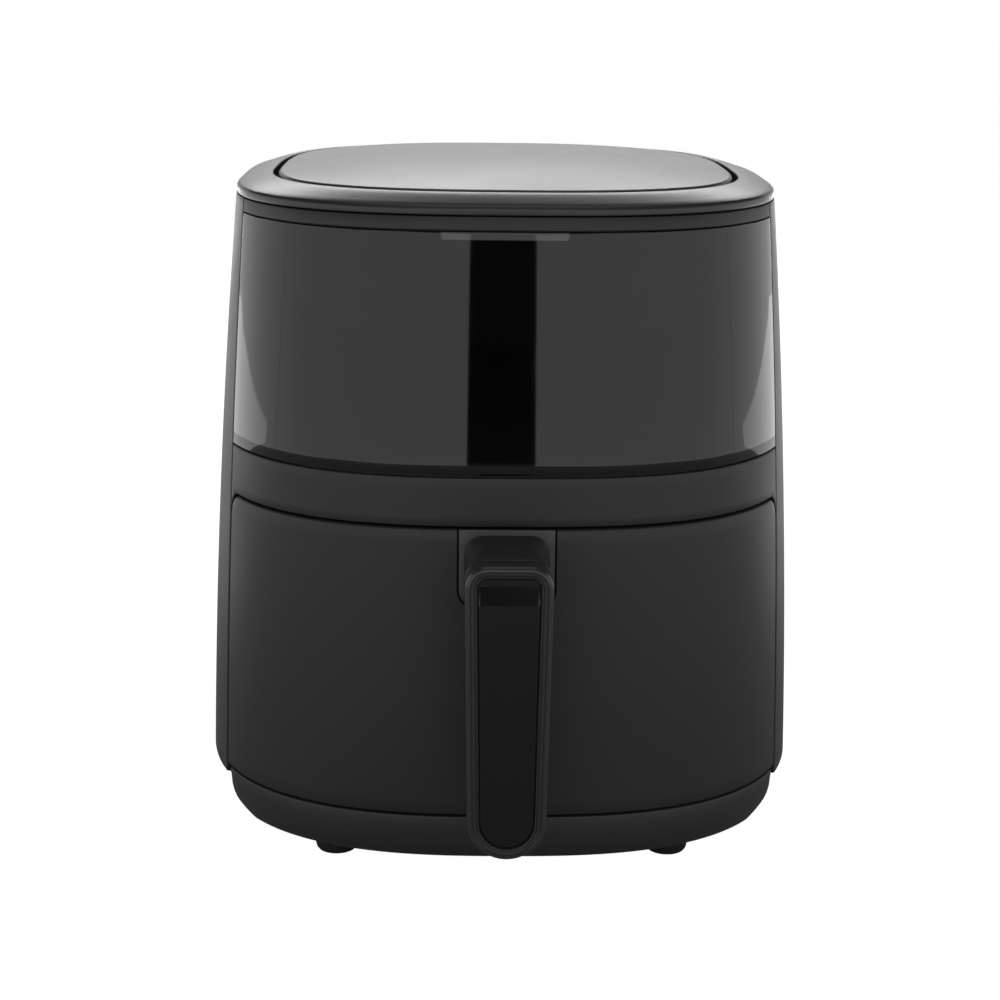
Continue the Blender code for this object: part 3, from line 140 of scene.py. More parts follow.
# %% Camera
CAMERA_DISTANCE = 1.0
CAMERA_HEIGHT = 0.3935
CAMERA_PITCH, CAMERA_YAW, CAMERA_ROLL = 14.22, 1.15, 0.65  # degrees
CAMERA_ASIDE = -0.0005
SENSOR_MM, LENS_MM = 36.0, 75.42
camera_data = bpy.data.cameras.new("camera")
camera_data.sensor_width = SENSOR_MM
camera_data.lens = LENS_MM
camera = bpy.data.objects.new("camera", camera_data)
bpy.context.scene.collection.objects.link(camera)
turned = (
    Matrix.Rotation(math.radians(-CAMERA_YAW), 4, "Z")
    @ Matrix.Translation((CAMERA_ASIDE, -CAMERA_DISTANCE, CAMERA_HEIGHT))
    @ Matrix.Rotation(math.radians(90 - CAMERA_PITCH), 4, "X")
    @ Matrix.Rotation(math.radians(CAMERA_ROLL), 4, "Z")
)
camera.matrix_world = Matrix.Translation(CENTRE) @ turned
bpy.context.scene.camera = camera
print("camera at", [round(v, 4) for v in camera.matrix_world.translation])

# %% [markdown]
# ## Helpers for materials
# Each material is a small graph of nodes. `add` makes one node, gives it its settings and joins
# its sockets. `colour` turns an sRGB hex value, as a designer writes it, into the linear values
# that Blender computes with.


# %% Material helpers
def colour(hex_value):
    parts = [int(hex_value[i : i + 2], 16) / 255 for i in (1, 3, 5)]
    linear = [p / 12.92 if p <= 0.04045 else ((p + 0.055) / 1.055) ** 2.4 for p in parts]
    return (*linear, 1.0)


def add(material, kind, settings=None, **inputs):
    """Adds a node. A value given for a socket is set on it, and another node's socket is linked."""
    node = material.node_tree.nodes.new(kind)
    for key, value in (settings or {}).items():
        setattr(node, key, value)
    for key, value in inputs.items():
        name = key.replace("_", " ")
        socket = node.inputs[int(key[1:]) if key[0] == "i" and key[1:].isdigit() else name]
        if isinstance(value, bpy.types.NodeSocket):
            material.node_tree.links.new(value, socket)
        else:
            socket.default_value = value
    return node


def new_material(name, base, roughness, metallic=0.0, ior=1.5, coat=0.0, coat_roughness=0.1):
    """A material with a Principled shader whose plain values are set on its own sockets."""
    made = bpy.data.materials.new(name)
    made.use_nodes = True
    shader = made.node_tree.nodes["Principled BSDF"]
    shader.inputs["Base Color"].default_value = colour(base)
    shader.inputs["Roughness"].default_value = roughness
    shader.inputs["Metallic"].default_value = metallic
    shader.inputs["IOR"].default_value = ior
    shader.inputs["Coat Weight"].default_value = coat
    shader.inputs["Coat Roughness"].default_value = coat_roughness
    made.diffuse_color = colour(base)
    return made, shader


def link(material, output, socket):
    material.node_tree.links.new(output, socket)


def place_of(material):
    return add(material, "ShaderNodeTexCoord").outputs["Object"]


# %% [markdown]
# ## Moulded plastics
# The housing is injection-moulded polypropylene. Its mould is spark-eroded, which leaves a fine
# matt grain about 0.3 mm wide: it breaks the light up, so that the surface looks charcoal and
# not black. The real grain is too fine to show from a metre away, so it is drawn 0.6 mm wide and
# shallow. Low, wide noise changes the roughness a little, as handling does.


# %% Grained plastic
def grained_plastic(name, base, worn, roughness, grain_mm=0.6, depth=0.12, ior=1.49):
    """Matt moulded plastic: fine bump, with slow changes of colour and roughness."""
    made, shader = new_material(name, base, roughness, ior=ior)
    place = place_of(made)
    grain = add(made, "ShaderNodeTexNoise", None, Vector=place, Scale=1000 / grain_mm, Detail=2.0)
    slow = add(made, "ShaderNodeTexNoise", None, Vector=place, Scale=16.0, Detail=3.0)
    mixed = add(made, "ShaderNodeMix", {"data_type": "RGBA"}, Factor=slow.outputs["Fac"])
    mixed.inputs[6].default_value = colour(base)
    mixed.inputs[7].default_value = colour(worn)
    link(made, mixed.outputs[2], shader.inputs["Base Color"])
    rough = add(
        made, "ShaderNodeMapRange", None, Value=slow.outputs["Fac"],
        From_Min=0.3, From_Max=0.7, To_Min=roughness - 0.03, To_Max=roughness + 0.04,
    )
    link(made, rough.outputs["Result"], shader.inputs["Roughness"])
    bump = add(
        made, "ShaderNodeBump", None, Height=grain.outputs["Fac"],
        Strength=depth, Distance=0.0002,
    )
    link(made, bump.outputs["Normal"], shader.inputs["Normal"])
    return made


MATT_PP = grained_plastic("matt_polypropylene_spark_eroded", "#262728", "#2a2b2c", 0.45)
SHELL_PP = grained_plastic("matt_polypropylene_shell", "#2e2f30", "#323334", 0.48)
BASE_PP = grained_plastic("matt_polypropylene_base", "#2b2c2d", "#2f3031", 0.42)
INNER_PP = grained_plastic("glass_filled_polypropylene", "#1d1e1f", "#242526", 0.6, 0.9, 0.2)
print("plastics:", [m.name for m in (MATT_PP, SHELL_PP, BASE_PP, INNER_PP)])

# %% [markdown]
# ## Satin ABS
# The collar, the lid plate and the handle are ABS from a finely blasted mould. It has almost no
# grain, so that lights show as wide soft highlights. The lid plate reflects the ceiling softly
# and so looks light grey from the front. It is the same black as the collar, but its base colour
# is painted a little lighter to add to that look: a painted sheen.


# %% Satin plastic
def satin_plastic(name, base, roughness, ior=1.54, wave=0.05):
    made, shader = new_material(name, base, roughness, ior=ior)
    place = place_of(made)
    fine = add(made, "ShaderNodeTexNoise", None, Vector=place, Scale=900.0, Detail=2.0)
    slow = add(made, "ShaderNodeTexNoise", None, Vector=place, Scale=22.0, Detail=2.0)
    rough = add(
        made, "ShaderNodeMapRange", None, Value=slow.outputs["Fac"],
        From_Min=0.3, From_Max=0.7, To_Min=roughness - 0.015, To_Max=roughness + 0.02,
    )
    link(made, rough.outputs["Result"], shader.inputs["Roughness"])
    bump = add(
        made, "ShaderNodeBump", None, Height=fine.outputs["Fac"], Strength=wave, Distance=0.0001,
    )
    link(made, bump.outputs["Normal"], shader.inputs["Normal"])
    return made


# The lid's base colour is painted lighter than the collar's same black, as a painted sheen.
LID_ABS_PAINTED_SHEEN = satin_plastic("satin_abs_lid_painted_sheen", "#3a3b3c", 0.34)
RING_ABS = satin_plastic("satin_abs_collar", "#303132", 0.33)
HANDLE_ABS = satin_plastic("satin_abs_handle", "#303132", 0.30)
INSERT_ABS = satin_plastic("gloss_abs_handle_face", "#0d0e10", 0.12, wave=0.02)
print("satin plastics made")

# %% [markdown]
# ## The glossy panel
# The control panel is clear acrylic, printed black behind. Light is mirrored by its polished
# front face only. A very faint wave, centimetres long, is left by the mould's cooling, and it
# keeps the mirrored shapes from looking like computer graphics.

# %% Gloss acrylic
GLOSS_ACRYLIC, panel_shader = new_material(
    "polished_acrylic_printed_black", "#020203", 0.045, ior=1.49, coat=0.25, coat_roughness=0.03
)
panel_place = place_of(GLOSS_ACRYLIC)
ripple = add(GLOSS_ACRYLIC, "ShaderNodeTexNoise", None, Vector=panel_place, Scale=26.0, Detail=1.0)
ripple_bump = add(
    GLOSS_ACRYLIC, "ShaderNodeBump", None, Height=ripple.outputs["Fac"],
    Strength=0.05, Distance=0.0008,
)
link(GLOSS_ACRYLIC, ripple_bump.outputs["Normal"], panel_shader.inputs["Normal"])
smudge = add(GLOSS_ACRYLIC, "ShaderNodeTexNoise", None, Vector=panel_place, Scale=14.0, Detail=5.0)
smudge_range = add(
    GLOSS_ACRYLIC, "ShaderNodeMapRange", None, Value=smudge.outputs["Fac"],
    From_Min=0.45, From_Max=0.75, To_Min=0.04, To_Max=0.075,
)
link(GLOSS_ACRYLIC, smudge_range.outputs["Result"], panel_shader.inputs["Roughness"])
print("gloss:", GLOSS_ACRYLIC.name)

# %% [markdown]
# ## Metals, rubber and coatings inside
# The chamber is zinc-coated sheet steel, whose crystals, the spangle, are 5 to 15 mm across. The
# pan is steel with a sprayed non-stick coating: dark, slightly sparkling and softly shiny. Feet
# are black rubber, the plate's feet grey silicone. A metal keeps the default IOR, because its
# reflection comes from its colour.


# %% Metals and coatings
def spangled_steel(name, light, dark, roughness, spangle_mm=9.0):
    """Zinc-coated sheet: crystals that differ a little in tone and roughness."""
    made, shader = new_material(name, light, roughness, metallic=1.0)
    cells = add(
        made, "ShaderNodeTexVoronoi", {"feature": "F1"}, Vector=place_of(made),
        Scale=1000 / spangle_mm,
    )
    tone = add(made, "ShaderNodeMapRange", None, Value=cells.outputs["Distance"],
               From_Min=0.0, From_Max=0.9, To_Min=0.0, To_Max=1.0)
    mixed = add(made, "ShaderNodeMix", {"data_type": "RGBA"}, Factor=tone.outputs["Result"])
    mixed.inputs[6].default_value = colour(light)
    mixed.inputs[7].default_value = colour(dark)
    link(made, mixed.outputs[2], shader.inputs["Base Color"])
    rough = add(made, "ShaderNodeMapRange", None, Value=cells.outputs["Distance"],
                From_Min=0.0, From_Max=0.9, To_Min=roughness - 0.05, To_Max=roughness + 0.08)
    link(made, rough.outputs["Result"], shader.inputs["Roughness"])
    return made


def drawn_metal(name, light, dark, roughness, line_mm=0.4):
    """Turned, drawn or pressed metal with fine marks along Z."""
    made, shader = new_material(name, light, roughness, metallic=1.0)
    stretched = add(made, "ShaderNodeMapping", None, Vector=place_of(made))
    stretched.inputs["Scale"].default_value = (1.0, 1.0, 0.08)
    lines = add(made, "ShaderNodeTexNoise", None, Vector=stretched.outputs["Vector"],
                Scale=1000 / line_mm, Detail=2.0)
    mixed = add(made, "ShaderNodeMix", {"data_type": "RGBA"}, Factor=lines.outputs["Fac"])
    mixed.inputs[6].default_value = colour(light)
    mixed.inputs[7].default_value = colour(dark)
    link(made, mixed.outputs[2], shader.inputs["Base Color"])
    bump = add(made, "ShaderNodeBump", None, Height=lines.outputs["Fac"], Strength=0.15,
               Distance=0.0001)
    link(made, bump.outputs["Normal"], shader.inputs["Normal"])
    return made


ZINC_SHEET = spangled_steel("hot_dip_galvanised_steel", "#b9bbbc", "#9fa2a4", 0.33)
ELEMENT_STEEL = drawn_metal("heat_tinted_stainless_tube", "#6d665d", "#4f4a45", 0.34)
CORE_STEEL = drawn_metal("laminated_electrical_steel", "#6f7173", "#4c4e50", 0.42, 0.6)
ZINC_SCREW = drawn_metal("bright_zinc_plated_screw", "#c4c6c4", "#9b9d9c", 0.28)
BRONZE = drawn_metal("sintered_bronze", "#b98a4e", "#8f6838", 0.42)
RUBBER = grained_plastic("nitrile_rubber", "#151515", "#1c1c1c", 0.75, 1.2, 0.3, ior=1.52)
SILICONE = grained_plastic("moulded_silicone", "#6a6c6e", "#74767a", 0.55, 1.5, 0.1, ior=1.41)
print("metals and elastomers made")

# %% [markdown]
# ## Non-stick coating and circuit board
# A sprayed coating holds mica flakes a third of a millimetre wide, drawn here as small light
# specks. Solder mask on a circuit board is green lacquer over copper, and the copper tracks
# show through it as lighter green.

# %% Non-stick and board
NONSTICK, nonstick_shader = new_material(
    "sprayed_ptfe_on_steel", "#242527", 0.36, ior=1.38, coat=0.15, coat_roughness=0.3
)
flake_cells = add(NONSTICK, "ShaderNodeTexVoronoi", None, Vector=place_of(NONSTICK), Scale=1400.0)
flakes = add(NONSTICK, "ShaderNodeMapRange", None, Value=flake_cells.outputs["Distance"],
             From_Min=0.05, From_Max=0.16, To_Min=1.0, To_Max=0.0)
speckle = add(NONSTICK, "ShaderNodeMix", {"data_type": "RGBA"}, Factor=flakes.outputs["Result"])
speckle.inputs[6].default_value = colour("#242527")
speckle.inputs[7].default_value = colour("#5b5c5e")
link(NONSTICK, speckle.outputs[2], nonstick_shader.inputs["Base Color"])
orange_peel = add(NONSTICK, "ShaderNodeTexNoise", None, Vector=place_of(NONSTICK), Scale=420.0)
peel_bump = add(NONSTICK, "ShaderNodeBump", None, Height=orange_peel.outputs["Fac"],
                Strength=0.12, Distance=0.0003)
link(NONSTICK, peel_bump.outputs["Normal"], nonstick_shader.inputs["Normal"])

BOARD, board_shader = new_material("solder_mask_on_glass_epoxy", "#0e4a2c", 0.35, ior=1.52)
tracks = add(BOARD, "ShaderNodeTexBrick", None, Vector=place_of(BOARD), Scale=160.0)
tracks.inputs["Color1"].default_value = colour("#0e4a2c")
tracks.inputs["Color2"].default_value = colour("#125a35")
tracks.inputs["Mortar"].default_value = colour("#2a7d50")
link(BOARD, tracks.outputs["Color"], board_shader.inputs["Base Color"])
print("coatings:", NONSTICK.name, BOARD.name)

# %% [markdown]
# ## Sweeping a section
# Most skins here are one section swept round the body. The section's first line is made by
# extruding a single vertex, or as a circle when it closes on itself. Every further line is an
# extrusion of the last one, moved to its place. A whole-number layer on the vertices carries each
# one's station through the extrusions, so that a new vertex knows where it belongs.


# %% Sweep helper
def sweep(stations, place, lines, closed_path, closed_section):
    """A bmesh of extruded lines. place(station, line) gives a point."""
    bm = bmesh.new()
    layer = bm.verts.layers.int.new("station")
    if closed_path:
        bmesh.ops.create_circle(bm, segments=stations, radius=1.0)
        for index, vert in enumerate(bm.verts):
            vert[layer] = index
    else:
        last = bm.verts.new((0, 0, 0))
        for index in range(1, stations):
            made = bmesh.ops.extrude_vert_indiv(bm, verts=[last])
            last = made["verts"][0]
            last[layer] = index
    edges = list(bm.edges)
    for vert in bm.verts:
        vert.co = place(vert[layer], 0)
    for line in range(1, lines + (1 if closed_section else 0)):
        made = bmesh.ops.extrude_edge_only(bm, edges=edges)
        edges = [item for item in made["geom"] if isinstance(item, bmesh.types.BMEdge)]
        new_verts = {vert for edge in edges for vert in edge.verts}
        for vert in new_verts:
            vert.co = place(vert[layer], line % lines)
    if closed_section:
        bmesh.ops.remove_doubles(bm, verts=bm.verts, dist=1e-7)
    return bm


def close_ends(bm):
    holes = [edge for edge in bm.edges if edge.is_boundary]
    if holes:
        bmesh.ops.holes_fill(bm, edges=holes, sides=0)


def finish_piece(name, bm, material, body, replaced=(), sharp=35, weld=True):
    """Turns the bmesh into a smooth-shaded piece that rides on its body."""
    if weld:
        bmesh.ops.remove_doubles(bm, verts=bm.verts, dist=1e-7)
    bmesh.ops.recalc_face_normals(bm, faces=bm.faces)
    mesh = bpy.data.meshes.new(name)
    bm.to_mesh(mesh)
    bm.free()
    mesh.shade_smooth()
    mesh.set_sharp_from_angle(angle=math.radians(sharp))
    piece = bpy.data.objects.new(name, mesh)
    bpy.context.scene.collection.objects.link(piece)
    mesh.materials.append(material)
    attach(piece, body)
    if replaced:
        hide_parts(*replaced)
    print(f"{name}: {len(mesh.polygons)} faces")
    return piece


def spread(low, high, count):
    return [low + (high - low) * i / (count - 1) for i in range(count)]


def arc(x, z, radius, start, end, count=6):
    """Points on an arc, as (inset, height). Angles in degrees from +inset towards +height."""
    turns = [math.radians(a) for a in spread(start, end, count)]
    return [(x + radius * math.cos(t), z + radius * math.sin(t)) for t in turns]


# %% [markdown]
# ## Stations along the front
# The front pieces run from seam to seam. Their stations lie close together at the two ends,
# where the upper corners of the drawer are rounded with a radius of 7.5 mm, and 5 mm apart in
# between. A table of measured lengths turns a distance from the seam into an angle.


# %% Front stations
CORNER_START = 0.0008  # from a piece's end to where its rounded corner begins
CORNER_END = 0.0135  # beyond here the stations lie evenly


def length_table(z, steps=400):
    seam = seam_angle(z)
    angles = spread(-math.pi + seam, -seam, steps)
    lengths = [0.0]
    for a, b in zip(angles, angles[1:]):
        lengths.append(lengths[-1] + (body_point(b, z) - body_point(a, z)).length)
    return lengths


FRONT_TABLE = length_table(BAND_BOTTOM)
FRONT_LENGTH = FRONT_TABLE[-1]


def share_at(distance):
    """Share of the way from the left seam to the right one, at a distance along the front."""
    for i in range(1, len(FRONT_TABLE)):
        if FRONT_TABLE[i] >= distance:
            part = (distance - FRONT_TABLE[i - 1]) / (FRONT_TABLE[i] - FRONT_TABLE[i - 1])
            return (i - 1 + part) / (len(FRONT_TABLE) - 1)
    return 1.0


def front_distances(gap):
    """Distances of the stations from the left seam."""
    corner = [CORNER_RADIUS * (1 - math.cos(math.radians(a))) for a in range(0, 91, 10)]
    ends = sorted(set([0.0, 0.00015, 0.0005] + [c + CORNER_START for c in corner]))
    middle = spread(CORNER_END, FRONT_LENGTH - 2 * gap - CORNER_END, 60)
    right = [FRONT_LENGTH - 2 * gap - d for d in reversed(ends)]
    return [gap + d for d in ends + middle + right]


def corner_drop(distance):
    """How far a rounded upper corner has dropped at a distance from the piece's end."""
    reach = max(min(distance - CORNER_START, CORNER_RADIUS), 0.0)
    return CORNER_RADIUS - math.sqrt(CORNER_RADIUS**2 - (CORNER_RADIUS - reach) ** 2)


def end_rounding(distance, radius=0.0005):
    """Extra inset that rounds off a wall's end."""
    if distance >= radius:
        return 0.0
    return radius - math.sqrt(radius**2 - (radius - distance) ** 2)


def front_piece(section, gap):
    """A closed wall from seam to seam. section(d) gives (inset, z) pairs; d is from its end."""
    distances = front_distances(gap)
    sections = []
    for distance in distances:
        own = min(distance - gap, FRONT_LENGTH - gap - distance)
        sections.append(section(own))
    shares = [share_at(distance) for distance in distances]

    def place(station, line):
        inset, z = sections[station][line]
        seam = seam_angle(z)
        angle = -math.pi + seam + (math.pi - 2 * seam) * shares[station]
        return body_point(angle, z, inset)

    bm = sweep(len(distances), place, len(sections[0]), False, True)
    close_ends(bm)
    return bm


print(f"front is {FRONT_LENGTH * 1000:.0f} mm from seam to seam")

# %% [markdown]
# ## Band and strip round the panel
# One moulding holds the panel: a 21 mm band below it and a narrow strip above. Both stand in
# line with the panel's face, and the moulding runs on behind the panel. It could be three
# pieces, but one section, swept once, keeps the real part's thickness.


# %% Front frame
PANEL_LOWER_GAP = 0.0009
PANEL_UPPER_GAP = 0.0005
PANEL_SEAT = 0.0024  # depth of the moulding behind the panel


def frame_section(own):
    extra = end_rounding(own)
    drop = corner_drop(own)
    low = BAND_BOTTOM - drop
    ledge, top_ledge = PANEL_BOTTOM - PANEL_LOWER_GAP, PANEL_TOP + PANEL_UPPER_GAP
    back = PANEL_SEAT
    outer = [(0.0009 + extra, low), (0.0003 + extra, low + 0.0003), (extra, low + 0.0009)]
    outer += [(extra, z) for z in spread(low + 0.004, ledge - 0.0006, 5)]
    outer += [(0.0001 + extra, ledge - 0.00025), (0.0004 + extra, ledge)]
    outer += [(back, ledge), (back, (ledge + top_ledge) / 2), (back, top_ledge)]
    outer += [(0.0003 + extra, top_ledge), (extra, top_ledge + 0.0003)]
    outer += [(extra, FRAME_TOP - 0.0005), (0.0002 + extra, FRAME_TOP - 0.0001)]
    outer += [(0.0006 + extra, FRAME_TOP)]
    inner = [(FRONT_WALL, FRAME_TOP), (FRONT_WALL, (ledge + top_ledge) / 2), (FRONT_WALL, ledge)]
    return outer + inner + [(FRONT_WALL, low)]


finish_piece(
    "front_frame_moulding", front_piece(frame_section, SEAM_GAP / 2), MATT_PP,
    "housing", ["front_frame"],
)

# %% [markdown]
# ## The panel
# A curved sheet two millimetres thick, polished, with its edges eased by a quarter of a
# millimetre. Those eased edges catch the light as a hairline all round.


# %% Touch panel
PANEL_THICKNESS = 0.002


def panel_section(own):
    extra = end_rounding(own, 0.0004)
    ease = 0.00035
    outer = [(ease + extra, PANEL_BOTTOM), (0.0001 + extra, PANEL_BOTTOM + 0.0001)]
    outer += [(extra, PANEL_BOTTOM + ease)]
    outer += [(extra, z) for z in spread(PANEL_BOTTOM + 0.006, PANEL_TOP - 0.006, 12)]
    outer += [(extra, PANEL_TOP - ease), (0.0001 + extra, PANEL_TOP - 0.0001)]
    outer += [(ease + extra, PANEL_TOP)]
    heights = (PANEL_TOP, (PANEL_TOP + PANEL_BOTTOM) / 2, PANEL_BOTTOM)
    return outer + [(PANEL_THICKNESS, z) for z in heights]


finish_piece(
    "touch_panel_sheet", front_piece(panel_section, SEAM_GAP / 2), GLOSS_ACRYLIC,
    "housing", ["touch_panel"],
)

# %% [markdown]
# ## Drawer front
# The drawer's face follows the body too. Its upper corners are rounded, and a notch in the middle
# of its upper edge takes the handle's mounting plate. The notch is cut with a Boolean by a prism
# that is made from a cube with its lower corners bevelled.

# %% Notch cutter
NOTCH_WIDTH = 0.0428
NOTCH_HEIGHT = 0.0347
NOTCH_CORNER = 0.008


def notch_prism(name, gap, top):
    """A block with rounded lower corners, gap smaller than the notch on each side."""
    low, high = DRAWER_TOP - NOTCH_HEIGHT + gap, top
    bm = bmesh.new()
    bmesh.ops.create_cube(bm, size=1.0)
    bmesh.ops.scale(bm, verts=bm.verts, vec=(NOTCH_WIDTH - 2 * gap, 0.06, high - low))
    bmesh.ops.translate(bm, verts=bm.verts, vec=(0, front_y(0, DRAWER_TOP), (low + high) / 2))
    lower = [
        edge for edge in bm.edges
        if all(vert.co.z < (low + high) / 2 for vert in edge.verts)
        and abs(edge.verts[0].co.x - edge.verts[1].co.x) < 1e-6
    ]
    bmesh.ops.bevel(bm, geom=lower, offset=NOTCH_CORNER - gap, segments=10, profile=0.5,
                    affect="EDGES", material=-1)
    mesh = bpy.data.meshes.new(name)
    bm.to_mesh(mesh)
    bm.free()
    cutter = bpy.data.objects.new(name, mesh)
    bpy.context.scene.collection.objects.link(cutter)
    return cutter


def mesh_after(piece, modifiers):
    """Puts Boolean and Bevel modifiers on a piece and replaces its mesh by what they make."""
    cutters = []
    for kind, settings in modifiers:
        modifier = piece.modifiers.new(kind.lower(), kind)
        for key, value in settings.items():
            setattr(modifier, key, value)
        if kind == "BOOLEAN":
            modifier.solver = "EXACT"
            cutters.append(modifier.object)
    graph = bpy.context.evaluated_depsgraph_get()
    graph.update()
    made = bpy.data.meshes.new_from_object(piece.evaluated_get(graph))
    piece.modifiers.clear()
    old, piece.data = piece.data, made
    bpy.data.meshes.remove(old)
    for cutter in cutters:
        if cutter.name in bpy.data.objects:
            bpy.data.objects.remove(cutter)
    made.shade_smooth()
    made.set_sharp_from_angle(angle=math.radians(35))
    return piece


# %% Drawer face
def drawer_section(own):
    extra = end_rounding(own)
    top = DRAWER_TOP - corner_drop(own)
    outer = [(0.0007 + extra, DRAWER_BOTTOM), (0.0002 + extra, DRAWER_BOTTOM + 0.0002)]
    outer += [(extra, DRAWER_BOTTOM + 0.0007)]
    outer += [(extra, z) for z in spread(DRAWER_BOTTOM + 0.006, top - 0.006, 14)]
    outer += [(extra, top - 0.0009), (0.0003 + extra, top - 0.0003), (0.0009 + extra, top)]
    inner = [(SHELL_WALL, z) for z in spread(top, DRAWER_BOTTOM, 5)]
    return outer + inner


drawer_face = finish_piece(
    "drawer_front_face", front_piece(drawer_section, SEAM_GAP * 1.5), MATT_PP,
    "drawer", ["drawer_front"],
)
mesh_after(drawer_face, [
    ("BOOLEAN", {"object": notch_prism("notch", 0.0, DRAWER_TOP + 0.02), "operation": "DIFFERENCE"}),
])
print("drawer face after the notch:", len(drawer_face.data.polygons))

# %% [markdown]
# ## Rear shell
# Sides and back are one moulding, 2.5 mm thick, with a slight step at its lower edge where it
# laps over the base. The vent and the cord bush sit in openings cut by Booleans.

# %% Rear shell
SHELL_LEVELS = spread(SHELL_BOTTOM + 0.004, FRAME_TOP - 0.003, 22)
SHELL_SECTION = (
    [(0.0008, SHELL_BOTTOM), (0.0002, SHELL_BOTTOM + 0.0003), (0.0, SHELL_BOTTOM + 0.001)]
    + [(0.0, z) for z in SHELL_LEVELS]
    + [(0.0, FRAME_TOP - 0.0006), (0.0002, FRAME_TOP - 0.0001), (0.0007, FRAME_TOP)]
    + [(SHELL_WALL, z) for z in spread(FRAME_TOP, SHELL_BOTTOM, 8)]
)
SHELL_STATIONS = 150
SHELL_LENGTH = 0.62  # along its outside, near enough for the rounding at its ends
SHELL_RADIUS = 0.125  # from the middle to the seam, to turn the seam gap into an angle


def shell_place(station, line):
    inset, z = SHELL_SECTION[line]
    seam = seam_angle(z)
    ends = [0.0, 0.00015, 0.0005, 0.0015]
    count = SHELL_STATIONS - 2 * len(ends)
    distances = ends + spread(0.004, SHELL_LENGTH - 0.004, count)
    distances += [SHELL_LENGTH - e for e in reversed(ends)]
    distance = distances[station]
    gap = SEAM_GAP / 2 / SHELL_RADIUS
    angle = -seam + gap + (math.pi + 2 * seam - 2 * gap) * distance / SHELL_LENGTH
    extra = end_rounding(min(distance, SHELL_LENGTH - distance)) if inset < SHELL_WALL else 0.0
    return body_point(angle, z, inset + extra)


shell_bm = sweep(SHELL_STATIONS, shell_place, len(SHELL_SECTION), False, True)
close_ends(shell_bm)
rear_skin = finish_piece(
    "rear_shell_moulding", shell_bm, SHELL_PP, "housing", ["rear_shell"]
)
vent_low, vent_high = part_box("exhaust_grille")
gland_low, gland_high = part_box("cord_gland")


def block(name, low, high):
    bm = bmesh.new()
    bmesh.ops.create_cube(bm, size=1.0)
    bmesh.ops.scale(bm, verts=bm.verts, vec=high - low)
    bmesh.ops.translate(bm, verts=bm.verts, vec=(low + high) / 2)
    mesh = bpy.data.meshes.new(name)
    bm.to_mesh(mesh)
    bm.free()
    made = bpy.data.objects.new(name, mesh)
    bpy.context.scene.collection.objects.link(made)
    return made


def rod_along_y(name, radius, x, z, y0, y1, segments=48):
    bm = bmesh.new()
    bmesh.ops.create_cone(bm, cap_ends=True, segments=segments, radius1=radius, radius2=radius,
                          depth=y1 - y0)
    bmesh.ops.rotate(bm, verts=bm.verts, cent=(0, 0, 0), matrix=Matrix.Rotation(math.pi / 2, 3, "X"))
    bmesh.ops.translate(bm, verts=bm.verts, vec=(x, (y0 + y1) / 2, z))
    mesh = bpy.data.meshes.new(name)
    bm.to_mesh(mesh)
    bm.free()
    made = bpy.data.objects.new(name, mesh)
    bpy.context.scene.collection.objects.link(made)
    return made


spare = Vector((0.0003, 0.02, 0.0003))
gland_x = (gland_low.x + gland_high.x) / 2
gland_z = (gland_low.z + gland_high.z) / 2
mesh_after(rear_skin, [
    ("BOOLEAN", {"object": block("vent_opening", vent_low - spare, vent_high + spare),
                 "operation": "DIFFERENCE"}),
    ("BOOLEAN", {"object": rod_along_y("gland_opening", 0.0068, gland_x, gland_z,
                                       gland_low.y - 0.01, gland_high.y + 0.02),
                 "operation": "DIFFERENCE"}),
])
print("rear shell:", len(rear_skin.data.polygons), "faces")

# %% [markdown]
# ## Base
# The bowl that everything stands on. In front it is flush with the drawer; beside and behind it
# steps inwards to slip inside the rear shell. Its rounding grows towards the
# sides.

# %% Base bowl
BASE_HEIGHT = BASE_TOP - BASE_Z
BASE_SECTION = [  # (inset, height above the underside), outside first
    (0.110, 0.0012), (0.050, 0.0008), (BASE_ROUNDING * 1.5, 0.0003),
    (BASE_ROUNDING, 0.0), (BASE_ROUNDING * 0.80, 0.00012), (BASE_ROUNDING * 0.62, 0.0005),
    (BASE_ROUNDING * 0.46, 0.0012), (BASE_ROUNDING * 0.33, 0.0022),
    (BASE_ROUNDING * 0.22, 0.0036), (BASE_ROUNDING * 0.14, 0.0053), (BASE_ROUNDING * 0.08, 0.0074),
    (BASE_ROUNDING * 0.035, 0.0105), (BASE_ROUNDING * 0.01, 0.0145),
    (0.0, BASE_HEIGHT - 0.0008), (0.0002, BASE_HEIGHT - 0.0002), (0.0008, BASE_HEIGHT),
    (0.0025, BASE_HEIGHT), (0.0030, 0.0120), (0.0050, 0.0060), (BASE_ROUNDING + 0.002, 0.0028),
    (0.110, 0.0030),
]
BASE_OUTSIDE = 13  # lines of the section that lie on the outside, below its upper edge


def base_stations():
    """(angle, extra inset) all round: flush in front, set inwards behind the seams."""
    seam = seam_angle(SHELL_BOTTOM)
    step = BASE_STEP_WIDTH / half_width(SHELL_BOTTOM)
    front = [(a, 0.0) for a in spread(-math.pi + seam + step, -seam - step, 90)]
    rise = [(-seam - step + step * t, BASE_INSET * (3 * t * t - 2 * t**3)) for t in (0.25, 0.5, 0.75)]
    behind = [(a, BASE_INSET) for a in spread(-seam, math.pi + seam, 110)]
    fall = [(math.pi + seam + step * t, BASE_INSET * (1 - (3 * t * t - 2 * t**3)))
            for t in (0.25, 0.5, 0.75)]
    return front + rise + behind + fall


BASE_STATIONS = base_stations()


def base_place(station, line):
    angle, extra = BASE_STATIONS[station]
    inset, height = BASE_SECTION[line]
    if line < BASE_OUTSIDE:
        depth = 1 - height / BASE_HEIGHT
        rounding = SIDE_ROUNDING * (1 - math.sqrt(1 - depth * depth))
        inset = max(inset, rounding * math.cos(angle) ** 4)
    return body_point(angle, BASE_Z + height, inset + extra)


